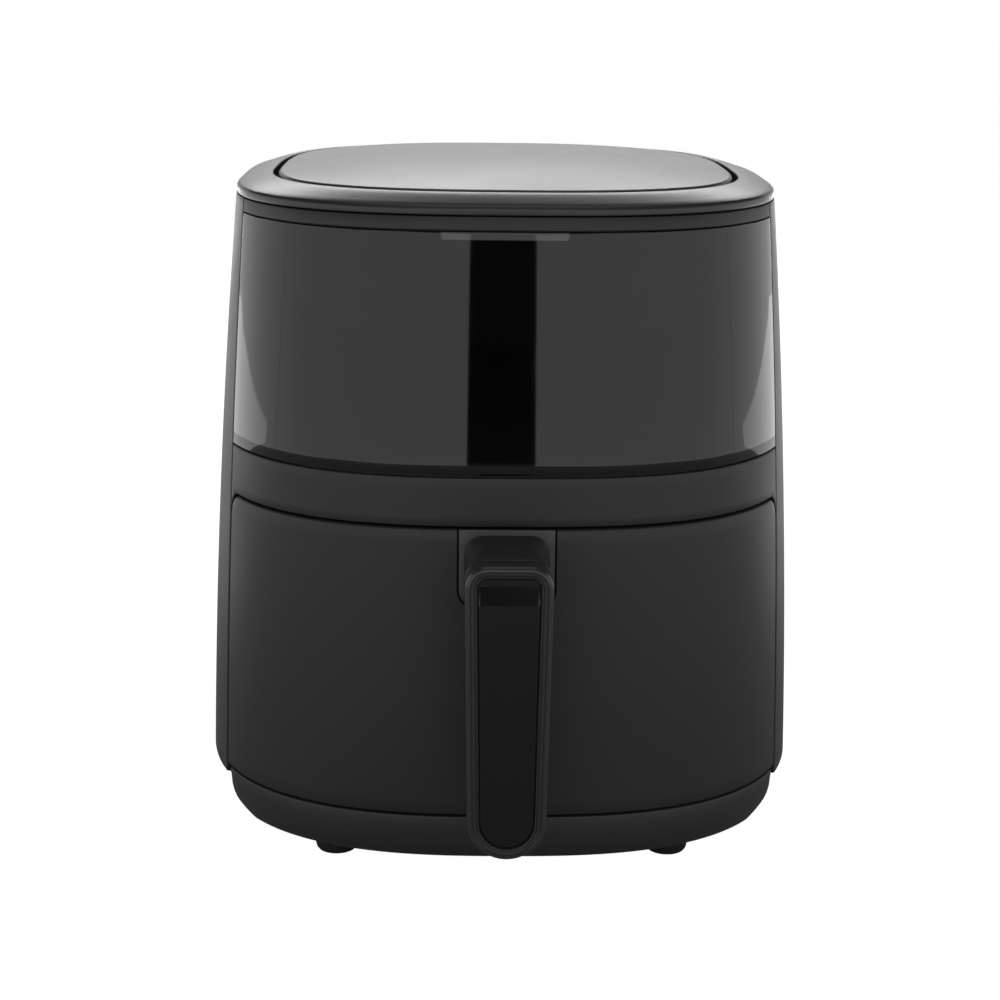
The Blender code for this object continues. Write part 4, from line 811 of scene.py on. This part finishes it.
base_bm = sweep(len(BASE_STATIONS), base_place, len(BASE_SECTION), True, False)
close_ends(base_bm)
finish_piece("base_bowl", base_bm, BASE_PP, "housing", ["base_shell"])

# %% [markdown]
# ## Collar round the lid plate
# The collar's section has a short upright face, a shoulder with a two millimetre radius, a gentle
# rise, and a rounded inner edge that falls into the air gap.

# %% Collar
RING_WIDTH = 0.0160
INTAKE_GAP = 0.0026
CAP_EDGE = CAP_BOTTOM + 0.0040
CAP_CREST = CAP_EDGE + 0.0040
RECESS_FLOOR = CAP_CREST - 0.008
SHOULDER = 0.0022
RING_SECTION = (
    [(0.0007, CAP_BOTTOM), (0.0002, CAP_BOTTOM + 0.0001), (0.0, CAP_BOTTOM + 0.0006)]
    + arc(SHOULDER, CAP_EDGE - SHOULDER + 0.0002, SHOULDER, 180, 118, 6)
    + [
        (0.0042, CAP_EDGE + 0.0009), (0.0075, CAP_EDGE + 0.0021), (0.0110, CAP_EDGE + 0.0031),
        (RING_WIDTH - 0.0022, CAP_CREST - 0.0001),
    ]
    + arc(RING_WIDTH - 0.0009, CAP_CREST - 0.0009, 0.0009, 90, 0, 6)
    + [(RING_WIDTH, RECESS_FLOOR), (RING_WIDTH + 0.0025, RECESS_FLOOR)]
    + [(RING_WIDTH + 0.0025, RECESS_FLOOR - 0.0025), (RING_WIDTH - 0.0025, RECESS_FLOOR - 0.0025)]
    + [(RING_WIDTH - 0.0025, CAP_EDGE - 0.0015), (0.0035, CAP_EDGE - 0.0025), (0.0025, CAP_BOTTOM)]
)
ROUND = 240


def ring_place(station, line):
    inset, z = RING_SECTION[line]
    return body_point(2 * math.pi * station / ROUND, z, inset)


finish_piece(
    "collar_ring", sweep(ROUND, ring_place, len(RING_SECTION), True, True), RING_ABS,
    "housing", ["top_ring"], sharp=50,
)

# %% [markdown]
# ## Lid plate
# A crowned plate floats in the collar with a dark air gap all round. It is made of rings that
# shrink towards the middle and rise along a curve which is steep at the edge and flat in the
# middle. The last small ring is filled.

# %% Lid plate
INSERT_EDGE = CAP_CREST + 0.0004
INSERT_CROWN = 0.0066
CROWN_POWER = 2.2
EDGE_ROUND = 0.0012
LID_INSET = RING_WIDTH + INTAKE_GAP
LID_REACH = half_width(INSERT_EDGE) - LID_INSET


def lid_height(distance):
    share = min(distance / LID_REACH, 1.0)
    return INSERT_EDGE + INSERT_CROWN * (1 - (1 - share) ** CROWN_POWER)


LID_SECTION = (
    [(0.0022, RECESS_FLOOR + 0.003), (0.0, RECESS_FLOOR + 0.003), (0.0, INSERT_EDGE - EDGE_ROUND)]
    + [(0.00012, INSERT_EDGE - 0.00085), (0.00045, INSERT_EDGE - 0.00035), (0.0010, INSERT_EDGE)]
    + [(d, lid_height(d) - 0.0001) for d in (0.002, 0.0035, 0.0055, 0.008, 0.011, 0.015, 0.020)]
    + [(d, lid_height(d) - 0.0001) for d in spread(0.026, 0.098, 11)]
)


def lid_place(station, line):
    inset, z = LID_SECTION[line]
    return body_point(2 * math.pi * station / ROUND, z, LID_INSET + inset)


lid_bm = sweep(ROUND, lid_place, len(LID_SECTION), True, False)
close_ends(lid_bm)
finish_piece("lid_plate", lid_bm, LID_ABS_PAINTED_SHEEN, "housing", ["top_insert"], sharp=50)

# %% [markdown]
# ## Handle
# The grip is two mouldings that meet at its widest line, with a glossy face set into the front
# one. The rim has a rounded outer edge, a shallow channel and a raised inner edge. The outline has
# rounded shoulders and a half-round lower end. That outline is drawn at
# several insets and depths, one extrusion after another.

# %% Grip outline
HANDLE_DROP = 0.0012
HANDLE_LENGTH = 0.1277
HANDLE_WIDTH = 0.0365
HANDLE_END_WIDTH = 0.0334
HANDLE_CORNER = 0.0095
HANDLE_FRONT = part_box("handle_frame")[0].y
GRIP_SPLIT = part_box("handle_frame")[1].y
GRIP_BACK = HANDLE_FRONT + 0.020
HANDLE_RIM = 0.0052
GRIP_TOP = DRAWER_TOP - HANDLE_DROP


def grip_outline(inset, corner_steps=12, end_steps=34, side_steps=10):
    """Outline of the grip from the front, as (x, z), clockwise from the middle of its top."""
    top = GRIP_TOP - inset
    across, end = HANDLE_WIDTH / 2 - inset, HANDLE_END_WIDTH / 2 - inset
    end_z = GRIP_TOP - HANDLE_LENGTH + HANDLE_END_WIDTH / 2
    corner = max(HANDLE_CORNER - inset, 0.0005)
    points = []
    for i in range(corner_steps):
        turn = math.pi / 2 * (1 - i / (corner_steps - 1))
        points.append((across - corner + corner * math.cos(turn),
                       top - corner + corner * math.sin(turn)))
    for i in range(1, side_steps):
        share = i / side_steps
        points.append((across + (end - across) * share, top - corner + (end_z - top + corner) * share))
    for i in range(end_steps):
        turn = -math.pi * i / (end_steps - 1)
        points.append((end * math.cos(turn), end_z + end * math.sin(turn)))
    for i in range(1, side_steps):
        share = 1 - i / side_steps
        points.append((-across - (end - across) * share, top - corner + (end_z - top + corner) * share))
    for i in range(corner_steps):
        turn = math.pi - math.pi / 2 * i / (corner_steps - 1)
        points.append((-across + corner + corner * math.cos(turn),
                       top - corner + corner * math.sin(turn)))
    return points


def grip_piece(profile):
    """profile is (inset, y) pairs."""
    outlines = [[Vector((x, y, z)) for x, z in grip_outline(inset)] for inset, y in profile]
    bm = sweep(len(outlines[0]), lambda s, l: outlines[l][s], len(outlines), True, False)
    close_ends(bm)
    return bm


# %% Rim and face of the grip
finish_piece("grip_rim", grip_piece([
    (0.0003, GRIP_SPLIT), (0.0, GRIP_SPLIT - 0.0003), (0.0, HANDLE_FRONT + 0.0030),
    (0.0001, HANDLE_FRONT + 0.0021), (0.0004, HANDLE_FRONT + 0.0013),
    (0.0009, HANDLE_FRONT + 0.0006), (0.0015, HANDLE_FRONT + 0.0002), (0.0021, HANDLE_FRONT),
    (0.0024, HANDLE_FRONT + 0.0003), (0.0026, HANDLE_FRONT + 0.0007),
    (HANDLE_RIM - 0.0013, HANDLE_FRONT + 0.0009), (HANDLE_RIM - 0.0010, HANDLE_FRONT + 0.0005),
    (HANDLE_RIM - 0.0007, HANDLE_FRONT + 0.0002), (HANDLE_RIM - 0.0003, HANDLE_FRONT + 0.0003),
    (HANDLE_RIM, HANDLE_FRONT + 0.0012), (HANDLE_RIM + 0.0002, HANDLE_FRONT + 0.0026),
]), HANDLE_ABS, "drawer", ["handle_frame"], sharp=50)

FACE_CREASE = GRIP_TOP - 0.0165  # the face tilts back above this
face_bm = grip_piece([
    (HANDLE_RIM + 0.0004, HANDLE_FRONT + 0.0022), (HANDLE_RIM + 0.0004, HANDLE_FRONT + 0.0012),
    (HANDLE_RIM + 0.0006, HANDLE_FRONT + 0.0009), (HANDLE_RIM + 0.0011, HANDLE_FRONT + 0.0007),
])
bmesh.ops.bisect_plane(
    face_bm, geom=face_bm.verts[:] + face_bm.edges[:] + face_bm.faces[:],
    plane_co=(0, 0, FACE_CREASE), plane_no=(0, 0, 1),
)
for vert in face_bm.verts:
    if vert.co.z > FACE_CREASE and vert.co.y < HANDLE_FRONT + 0.0011:
        vert.co.y += (vert.co.z - FACE_CREASE) * 0.20
finish_piece("grip_face", face_bm, INSERT_ABS, "drawer", ["handle_insert"], sharp=8)

# %% [markdown]
# ## Neck and mounting plate
# The rear half of the grip carries a short square neck and a curved plate, which fills the notch
# in the drawer but for a shadow gap. The plate is a piece of the drawer's own surface, so it is
# swept like the drawer and then cut to the notch's outline with an INTERSECT Boolean.


# %% Rear half of the grip
NECK_WIDTH = 0.0336
NECK_HEIGHT = 0.0298
NECK_TOP = GRIP_TOP - 0.002
finish_piece("grip_back", grip_piece([
    (0.0004, GRIP_SPLIT + 0.0003), (0.0, GRIP_SPLIT + 0.0007), (0.0, GRIP_BACK - 0.0045),
    (0.0003, GRIP_BACK - 0.0028), (0.0010, GRIP_BACK - 0.0015), (0.0022, GRIP_BACK - 0.0005),
    (0.0040, GRIP_BACK), (0.0060, GRIP_BACK),
]), HANDLE_ABS, "drawer", ["handle_body"], sharp=50)


def neck_outline(grow, steps=10):
    across, top = NECK_WIDTH / 2 + grow, NECK_TOP + grow * 0.4
    low = NECK_TOP - NECK_HEIGHT - grow
    radius = HANDLE_CORNER - 0.001
    points = []
    for centre_x, centre_z, start in (
        (across - radius, top - radius, 0.0), (-across + radius, top - radius, 0.5),
        (-across + radius, low + radius, 1.0), (across - radius, low + radius, 1.5),
    ):
        for i in range(steps):
            turn = math.pi * (start + 0.5 * i / (steps - 1))
            points.append((centre_x + radius * math.cos(turn), centre_z + radius * math.sin(turn)))
    return points


plate_y = front_y(0, DRAWER_TOP - NOTCH_HEIGHT / 2)
neck_lines = [(0.0, GRIP_BACK - 0.003), (0.0, plate_y - 0.012), (0.0, plate_y - 0.0045),
              (0.0003, plate_y - 0.0025), (0.0008, plate_y - 0.0012), (0.0016, plate_y - 0.0003),
              (0.0018, plate_y + 0.0016)]
neck_rings = [[Vector((x, y, z)) for x, z in neck_outline(grow)] for grow, y in neck_lines]
neck_bm = sweep(len(neck_rings[0]), lambda s, l: neck_rings[l][s], len(neck_rings), True, False)
close_ends(neck_bm)
finish_piece("handle_neck", neck_bm, HANDLE_ABS, "drawer", sharp=50)


# %% Mounting plate
def plate_section(own):
    low = DRAWER_TOP - NOTCH_HEIGHT * 1.2
    outer = [(0.0, z) for z in spread(low, DRAWER_TOP - 0.0007, 8)]
    outer += [(0.0002, DRAWER_TOP - 0.0002), (0.0007, DRAWER_TOP)]
    return outer + [(0.0032, z) for z in spread(DRAWER_TOP, low, 4)]


mounting_plate = finish_piece(
    "handle_plate", front_piece(plate_section, SEAM_GAP), HANDLE_ABS, "drawer"
)
mesh_after(mounting_plate, [
    ("BOOLEAN", {"object": notch_prism("plate_outline", 0.0008, DRAWER_TOP + 0.02),
                 "operation": "INTERSECT"}),
    ("BEVEL", {"width": 0.0003, "segments": 2, "limit_method": "ANGLE",
               "angle_limit": math.radians(50), "use_clamp_overlap": True}),
])
print("mounting plate:", len(mounting_plate.data.polygons), "faces")

# %% [markdown]
# ## Turned parts
# Feet and bushes are round, so their profile is spun about an axis: a chain of vertices, a full
# `spin` with `use_merge`, and then the poles closed.


# %% Lathe helper
def lathe(profile, centre, axis="Z", steps=48):
    """A spun bmesh from (radius, height) pairs about a vertical line or one along Y."""
    bm = bmesh.new()
    verts = [bm.verts.new((radius, 0.0, height)) for radius, height in profile]
    chain = [bm.edges.new(pair) for pair in zip(verts, verts[1:])]
    bmesh.ops.spin(bm, geom=verts + chain, cent=(0, 0, 0), axis=(0, 0, 1), angle=2 * math.pi,
                   steps=steps, use_merge=True)
    bmesh.ops.remove_doubles(bm, verts=bm.verts, dist=1e-6)
    close_ends(bm)
    if axis == "Y":
        bmesh.ops.rotate(bm, verts=bm.verts, cent=(0, 0, 0),
                         matrix=Matrix.Rotation(-math.pi / 2, 3, "X"))
    bmesh.ops.translate(bm, verts=bm.verts, vec=centre)
    return bm


for foot in ("foot_front_left", "foot_front_right", "foot_rear_left", "foot_rear_right"):
    low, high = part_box(foot)
    radius, top = (high.x - low.x) / 2, high.z
    profile = [(0.0, 0.0006), (0.0045, 0.0006), (0.0050, 0.0)]
    profile += [(radius - 0.0028, 0.0), (radius - 0.0014, 0.0005), (radius - 0.0005, 0.0016)]
    profile += [(radius - 0.0001, 0.0030), (radius, 0.0045), (radius, top - 0.0005)]
    profile += [(radius - 0.0005, top), (0.0, top)]
    middle = Vector(((low.x + high.x) / 2, (low.y + high.y) / 2, 0.0))
    finish_piece(foot.replace("foot", "rubber_foot"), lathe(profile, middle), RUBBER, "housing",
                 [foot])

# %% [markdown]
# ## Rear vent and cord bush
# Hot air leaves through a louvred grille at the back. Its frame follows the body and its slats
# are slanted blades, thin at both edges. The cord bush is a turned rubber ring.

# %% Rear vent
VENT_SLATS = 8
vent_width = vent_high.x - vent_low.x
vent_height = vent_high.z - vent_low.z
VENT_BORDER = 0.0055


def vent_point(x_share, z, inset):
    half_angle = math.atan2(vent_width / 2, half_depths(z)[1])
    return body_point(math.pi / 2 + half_angle * (1 - 2 * x_share), z, inset)


def vent_bar(x0, x1, z_front, z_back, thick, insets, stations):
    """A curved bar of the grille between two shares of its width."""
    front, back = insets
    section = [(front, z_front), (front, z_front + thick), (back, z_back + thick), (back, z_back)]
    turned_on = section[1:] + section[:1]
    middle = [((a[0] + b[0]) / 2, (a[1] + b[1]) / 2) for a, b in zip(section, turned_on)]
    lines = [pair for couple in zip(section, middle) for pair in couple]
    shares = spread(x0, x1, stations)
    bm = sweep(stations, lambda s, l: vent_point(shares[s], lines[l][1], lines[l][0]), len(lines),
               False, True)
    close_ends(bm)
    return bm


def joined(parts):
    """One bmesh from several."""
    whole = bmesh.new()
    for part in parts:
        scratch = bpy.data.meshes.new("scratch")
        part.to_mesh(scratch)
        part.free()
        whole.from_mesh(scratch)
        bpy.data.meshes.remove(scratch)
    return whole


border = VENT_BORDER / vent_width
vent_parts = [
    vent_bar(0.0, 1.0, vent_low.z, vent_low.z, VENT_BORDER, (-0.0006, 0.0025), 20),
    vent_bar(0.0, 1.0, vent_high.z - VENT_BORDER, vent_high.z - VENT_BORDER, VENT_BORDER,
             (-0.0006, 0.0025), 20),
]
for x0, x1 in ((0.0, border), (1.0 - border, 1.0), (0.5 - border / 4, 0.5 + border / 4)):
    vent_parts.append(vent_bar(x0, x1, vent_low.z + 0.002, vent_low.z + 0.002,
                               vent_height - 0.004, (-0.0004, 0.0023), 4))
pitch = (vent_height - 2 * VENT_BORDER) / VENT_SLATS
for i in range(VENT_SLATS):
    z = vent_low.z + VENT_BORDER + pitch * (i + 0.1)
    vent_parts.append(vent_bar(border * 0.5, 1.0 - border * 0.5, z, z + pitch * 0.55, 0.0012,
                               (0.0002, 0.0060), 20))
finish_piece("louvred_vent", joined(vent_parts), MATT_PP, "housing",
             ["exhaust_grille"], weld=False)

# %% Cord bush
bush_radius = (gland_high.x - gland_low.x) / 2
depth = gland_high.y - gland_low.y
bush_profile = [
    (0.0037, 0.0), (0.0058, 0.0), (0.0065, 0.0012), (0.0065, depth - 0.0025),
    (bush_radius, depth - 0.0025), (bush_radius, depth - 0.0007),
    (bush_radius - 0.0003, depth - 0.0002), (bush_radius - 0.0009, depth), (0.0048, depth),
    (0.0040, depth - 0.0003), (0.0037, depth - 0.0009), (0.0037, 0.0),
]
finish_piece("rubber_bush", lathe(bush_profile, Vector((gland_x, gland_low.y, gland_z)), "Y"),
             RUBBER, "housing", ["cord_gland"])

# %% [markdown]
# ## Pan
# The drawer carries a deep-drawn steel pan with a rolled rim and non-stick coating. It shows
# when the drawer is open, so it gets smooth walls and a soft radius at the floor.

# %% Pan
PAN_POWER = 3.4
PAN_WALL = 0.0014
PAN_DRAFT = 0.006
PAN_RIM = 0.004
pan_low, pan_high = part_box("pan")
pan_centre = (pan_low + pan_high) / 2
PAN_ACROSS = (pan_high.x - pan_low.x) / 2 - PAN_RIM
PAN_ALONG = (pan_high.y - pan_low.y) / 2 - PAN_RIM
PAN_DEPTH = pan_high.z - pan_low.z
PAN_CURVE = 0.012


def pan_line(grow, height, share):
    return (grow - PAN_DRAFT * (1 - share), height)


def pan_corner(own, floor, degrees):
    """The radius between floor and wall. own and floor are 0 or the thickness of the sheet."""
    turns = [math.radians(d) for d in degrees]
    return [pan_line(own - PAN_CURVE * (1 - math.sin(a)), floor + PAN_CURVE * (1 - math.cos(a)),
                     0.1 * (1 - math.cos(a))) for a in turns]


PAN_SECTION = (
    [pan_line(-0.060, 0.0014, 0.0), pan_line(PAN_WALL - PAN_CURVE, 0.0, 0.0)]
    + pan_corner(PAN_WALL, 0.0, (20, 40, 60, 75, 90))
    + [pan_line(PAN_WALL, PAN_DEPTH * 0.5, 0.5), pan_line(PAN_WALL, PAN_DEPTH - 0.0036, 0.98)]
    + [pan_line(grow, PAN_DEPTH - drop, 1.0) for grow, drop in (
        (PAN_WALL + 0.0012, 0.0022), (PAN_RIM - 0.0003, 0.0015), (PAN_RIM, 0.0009),
        (PAN_RIM - 0.0004, 0.0002), (PAN_RIM - 0.0012, 0.0), (0.0010, 0.0001), (0.0003, 0.0006),
    )]
    + [pan_line(0.0, PAN_DEPTH - 0.0018, 0.98), pan_line(0.0, PAN_DEPTH * 0.5, 0.5)]
    + pan_corner(0.0, PAN_WALL, (90, 75, 60, 40, 20, 0))
    + [pan_line(-0.060, 0.0028, 0.0)]
)
PAN_STATIONS = 160


def pan_place(station, line):
    grow, height = PAN_SECTION[line]
    place = oval(2 * math.pi * station / PAN_STATIONS, PAN_ACROSS + grow, PAN_ALONG + grow, PAN_POWER)
    return place + Vector((pan_centre.x, pan_centre.y, pan_low.z + height))


pan_bm = sweep(PAN_STATIONS, pan_place, len(PAN_SECTION), True, False)
close_ends(pan_bm)
finish_piece("deep_drawn_pan", pan_bm, NONSTICK, "drawer", ["pan"], sharp=50)

# %% [markdown]
# ## Finishes of the parts that keep their frame shape
# Hidden parts keep the frame's own mesh and take a better material. Each name is matched to the
# material that such a part is made of.

# %% Materials for carried-over parts
FINISHES = {
    MATT_PP: ["intake_grille", "rail_left", "rail_right"],
    INNER_PP: ["drawer_inner", "cooling_fan"],
    ZINC_SHEET: ["bay_floor", "chamber_liner", "chamber_deck", "heat_dome", "exhaust_duct",
                 "motor_plate", "motor_bridge", "pan_bracket", "circulation_fan"],
    ELEMENT_STEEL: ["heating_element", "temperature_probe", "thermal_cutout"],
    CORE_STEEL: ["motor_stator", "motor_rotor", "motor_shaft"],
    ZINC_SCREW: ["fan_nut", "handle_screw_upper", "handle_screw_lower"]
    + [f"base_screw_{n}" for n in range(1, 5)],
    BRONZE: ["bearing_lower", "bearing_upper"],
    NONSTICK: ["crisper_plate"],
    SILICONE: [f"plate_foot_{n}" for n in range(1, 5)],
    BOARD: ["control_board", "power_board"],
    INSERT_ABS: ["drawer_switch"],
    RUBBER: ["switch_plunger"],
}
finished = set()
for finish, names in FINISHES.items():
    for name in names:
        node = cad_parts[name]
        node.data.materials.clear()
        node.data.materials.append(finish)
        finished.add(name)
left = [n for n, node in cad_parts.items() if n not in finished and not node.hide_render]
print("carried over:", len(finished), "without a finish:", left)

# %% [markdown]
# ## Studio
# Black plastic has hardly any colour of its own: it shows what it mirrors. So the surround seen
# by the camera is white, and the one that the plastic mirrors is dim, with real lights in it. A
# Light Path node tells the two apart.

# %% Floor and surround
FLOOR_GLOW = 0.985
FLOOR_REACH = 12.0
FLOOR, floor_shader = new_material("painted_studio_floor", "#e8e8e8", 0.9)
rays = add(FLOOR, "ShaderNodeLightPath")
floor_noise = add(FLOOR, "ShaderNodeTexNoise", None, Vector=place_of(FLOOR), Scale=3.0)
floor_tone = add(FLOOR, "ShaderNodeMix", {"data_type": "RGBA"}, Factor=floor_noise.outputs["Fac"])
floor_tone.inputs[6].default_value = colour("#808080")
floor_tone.inputs[7].default_value = colour("#868686")
floor_seen = add(FLOOR, "ShaderNodeMix", {"data_type": "RGBA"},
                 Factor=rays.outputs["Is Camera Ray"])
floor_seen.inputs[6].default_value = colour("#a8a8a8")
link(FLOOR, floor_tone.outputs[2], floor_seen.inputs[7])
link(FLOOR, floor_seen.outputs[2], floor_shader.inputs["Base Color"])
floor_shader.inputs["Emission Color"].default_value = (1.0, 1.0, 1.0, 1.0)
floor_lift = add(FLOOR, "ShaderNodeMath", {"operation": "MULTIPLY"},
                 i0=rays.outputs["Is Camera Ray"], i1=FLOOR_GLOW)
link(FLOOR, floor_lift.outputs["Value"], floor_shader.inputs["Emission Strength"])
floor_bm = bmesh.new()
bmesh.ops.create_grid(floor_bm, x_segments=1, y_segments=1, size=FLOOR_REACH)
floor_mesh = bpy.data.meshes.new("floor")
floor_bm.to_mesh(floor_mesh)
floor_bm.free()
floor = bpy.data.objects.new("floor", floor_mesh)
floor_mesh.materials.append(FLOOR)
bpy.context.scene.collection.objects.link(floor)

world = bpy.data.worlds.new("studio")
bpy.context.scene.world = world
world.use_nodes = True
background = world.node_tree.nodes["Background"]
world_rays = add(world, "ShaderNodeLightPath")
surround = add(world, "ShaderNodeMix", {"data_type": "RGBA"},
               Factor=world_rays.outputs["Is Camera Ray"])
surround.inputs[6].default_value = (0.03, 0.03, 0.031, 1.0)
surround.inputs[7].default_value = (1.0, 1.0, 1.0, 1.0)
world.node_tree.links.new(surround.outputs[2], background.inputs["Color"])
bpy.context.scene.view_settings.view_transform = "Standard"
bpy.context.scene.view_settings.look = "None"
print("floor and surround made")

# %% [markdown]
# ## Lights
# Upright soft boxes stand edge to edge on both sides, with a dark gap between them in front: the
# curved panel mirrors them as two even grey fields and a black stripe. Brighter boxes and cards on
# the floor behind the sides bring out the edges, and a wall of light behind the object the lid
# plate, because plastic mirrors far more at a grazing angle.


# %% Lights
def soft_box(name, place, target, width, height, radiance, far_radiance=None):
    """An area light as bright as radiance, which may change evenly from one side to the other."""
    data = bpy.data.lights.new(name, "AREA")
    data.shape = "RECTANGLE"
    data.size, data.size_y = width, height
    data.energy = math.pi * width * height
    data.use_nodes = True
    emission = data.node_tree.nodes["Emission"]
    emission.inputs["Strength"].default_value = radiance
    if far_radiance is not None:
        geometry = add(data, "ShaderNodeNewGeometry")
        across = add(data, "ShaderNodeSeparateXYZ", None, Vector=geometry.outputs["Parametric"])
        blend = add(data, "ShaderNodeMix", {"data_type": "FLOAT"}, Factor=across.outputs["X"],
                    A=radiance, B=far_radiance)
        link(data, blend.outputs[0], emission.inputs["Strength"])
    lamp = bpy.data.objects.new(name, data)
    bpy.context.scene.collection.objects.link(lamp)
    lamp.location = place
    lamp.rotation_euler = (Vector(target) - Vector(place)).to_track_quat("-Z", "Y").to_euler()
    lamp.visible_camera = False
    return lamp


def side_boxes(name, from_angle, to_angle, distance, height, radiance, far_radiance):
    """The same upright light on both sides; angles are counted from the front, in degrees."""
    middle = math.radians((from_angle + to_angle) / 2)
    width = 2 * distance * math.tan(math.radians((to_angle - from_angle) / 2))
    for side, label, ends in ((-1, "left", (far_radiance, radiance)),
                              (1, "right", (radiance, far_radiance))):
        place = CENTRE + Vector((side * distance * math.sin(middle),
                                 -distance * math.cos(middle), height / 2))
        target = CENTRE + Vector((0, 0, height / 2))
        soft_box(f"{label}_{name}", place, target, width, height, *ends)


side_boxes("inner_box", 4.2, 45, 0.98, 0.66, 0.86, 0.86)
side_boxes("outer_box", 45, 86, 0.98, 0.66, 0.86, 0.88)
side_boxes("inner_wing", 86, 118, 0.98, 0.66, 0.88, 0.86)
side_boxes("outer_wing", 118, 150, 0.98, 0.50, 0.86, 0.80)
side_boxes("back", 151, 162, 2.2, 0.26, 4.6, 4.6)
for side, label in ((-1, "left"), (1, "right")):
    soft_box(f"{label}_ground", (side * 1.0, 1.0, 0.004), (side * 1.0, 1.0, 1.0), 1.3, 1.6, 0.7)
soft_box("back_wall", (0, 2.4, 0.5), (0, 0, 0.5), 3.0, 1.0, 0.66)
soft_box("back_wall_top", (0, 2.35, 1.35), (0, 0, 1.0), 1.9, 0.5, 5.6)
soft_box("top_box", (0, 0.2, 2.1), (0, 0, 0.2), 1.4, 1.4, 0.6)
soft_box("front_top_box", (0, -1.3, 1.7), (0, 0, 0.2), 1.6, 0.5, 0.35)
soft_box("brow_box", (0, -1.5, 0.85), (0, 0, 0.2), 0.6, 0.5, 1.0)
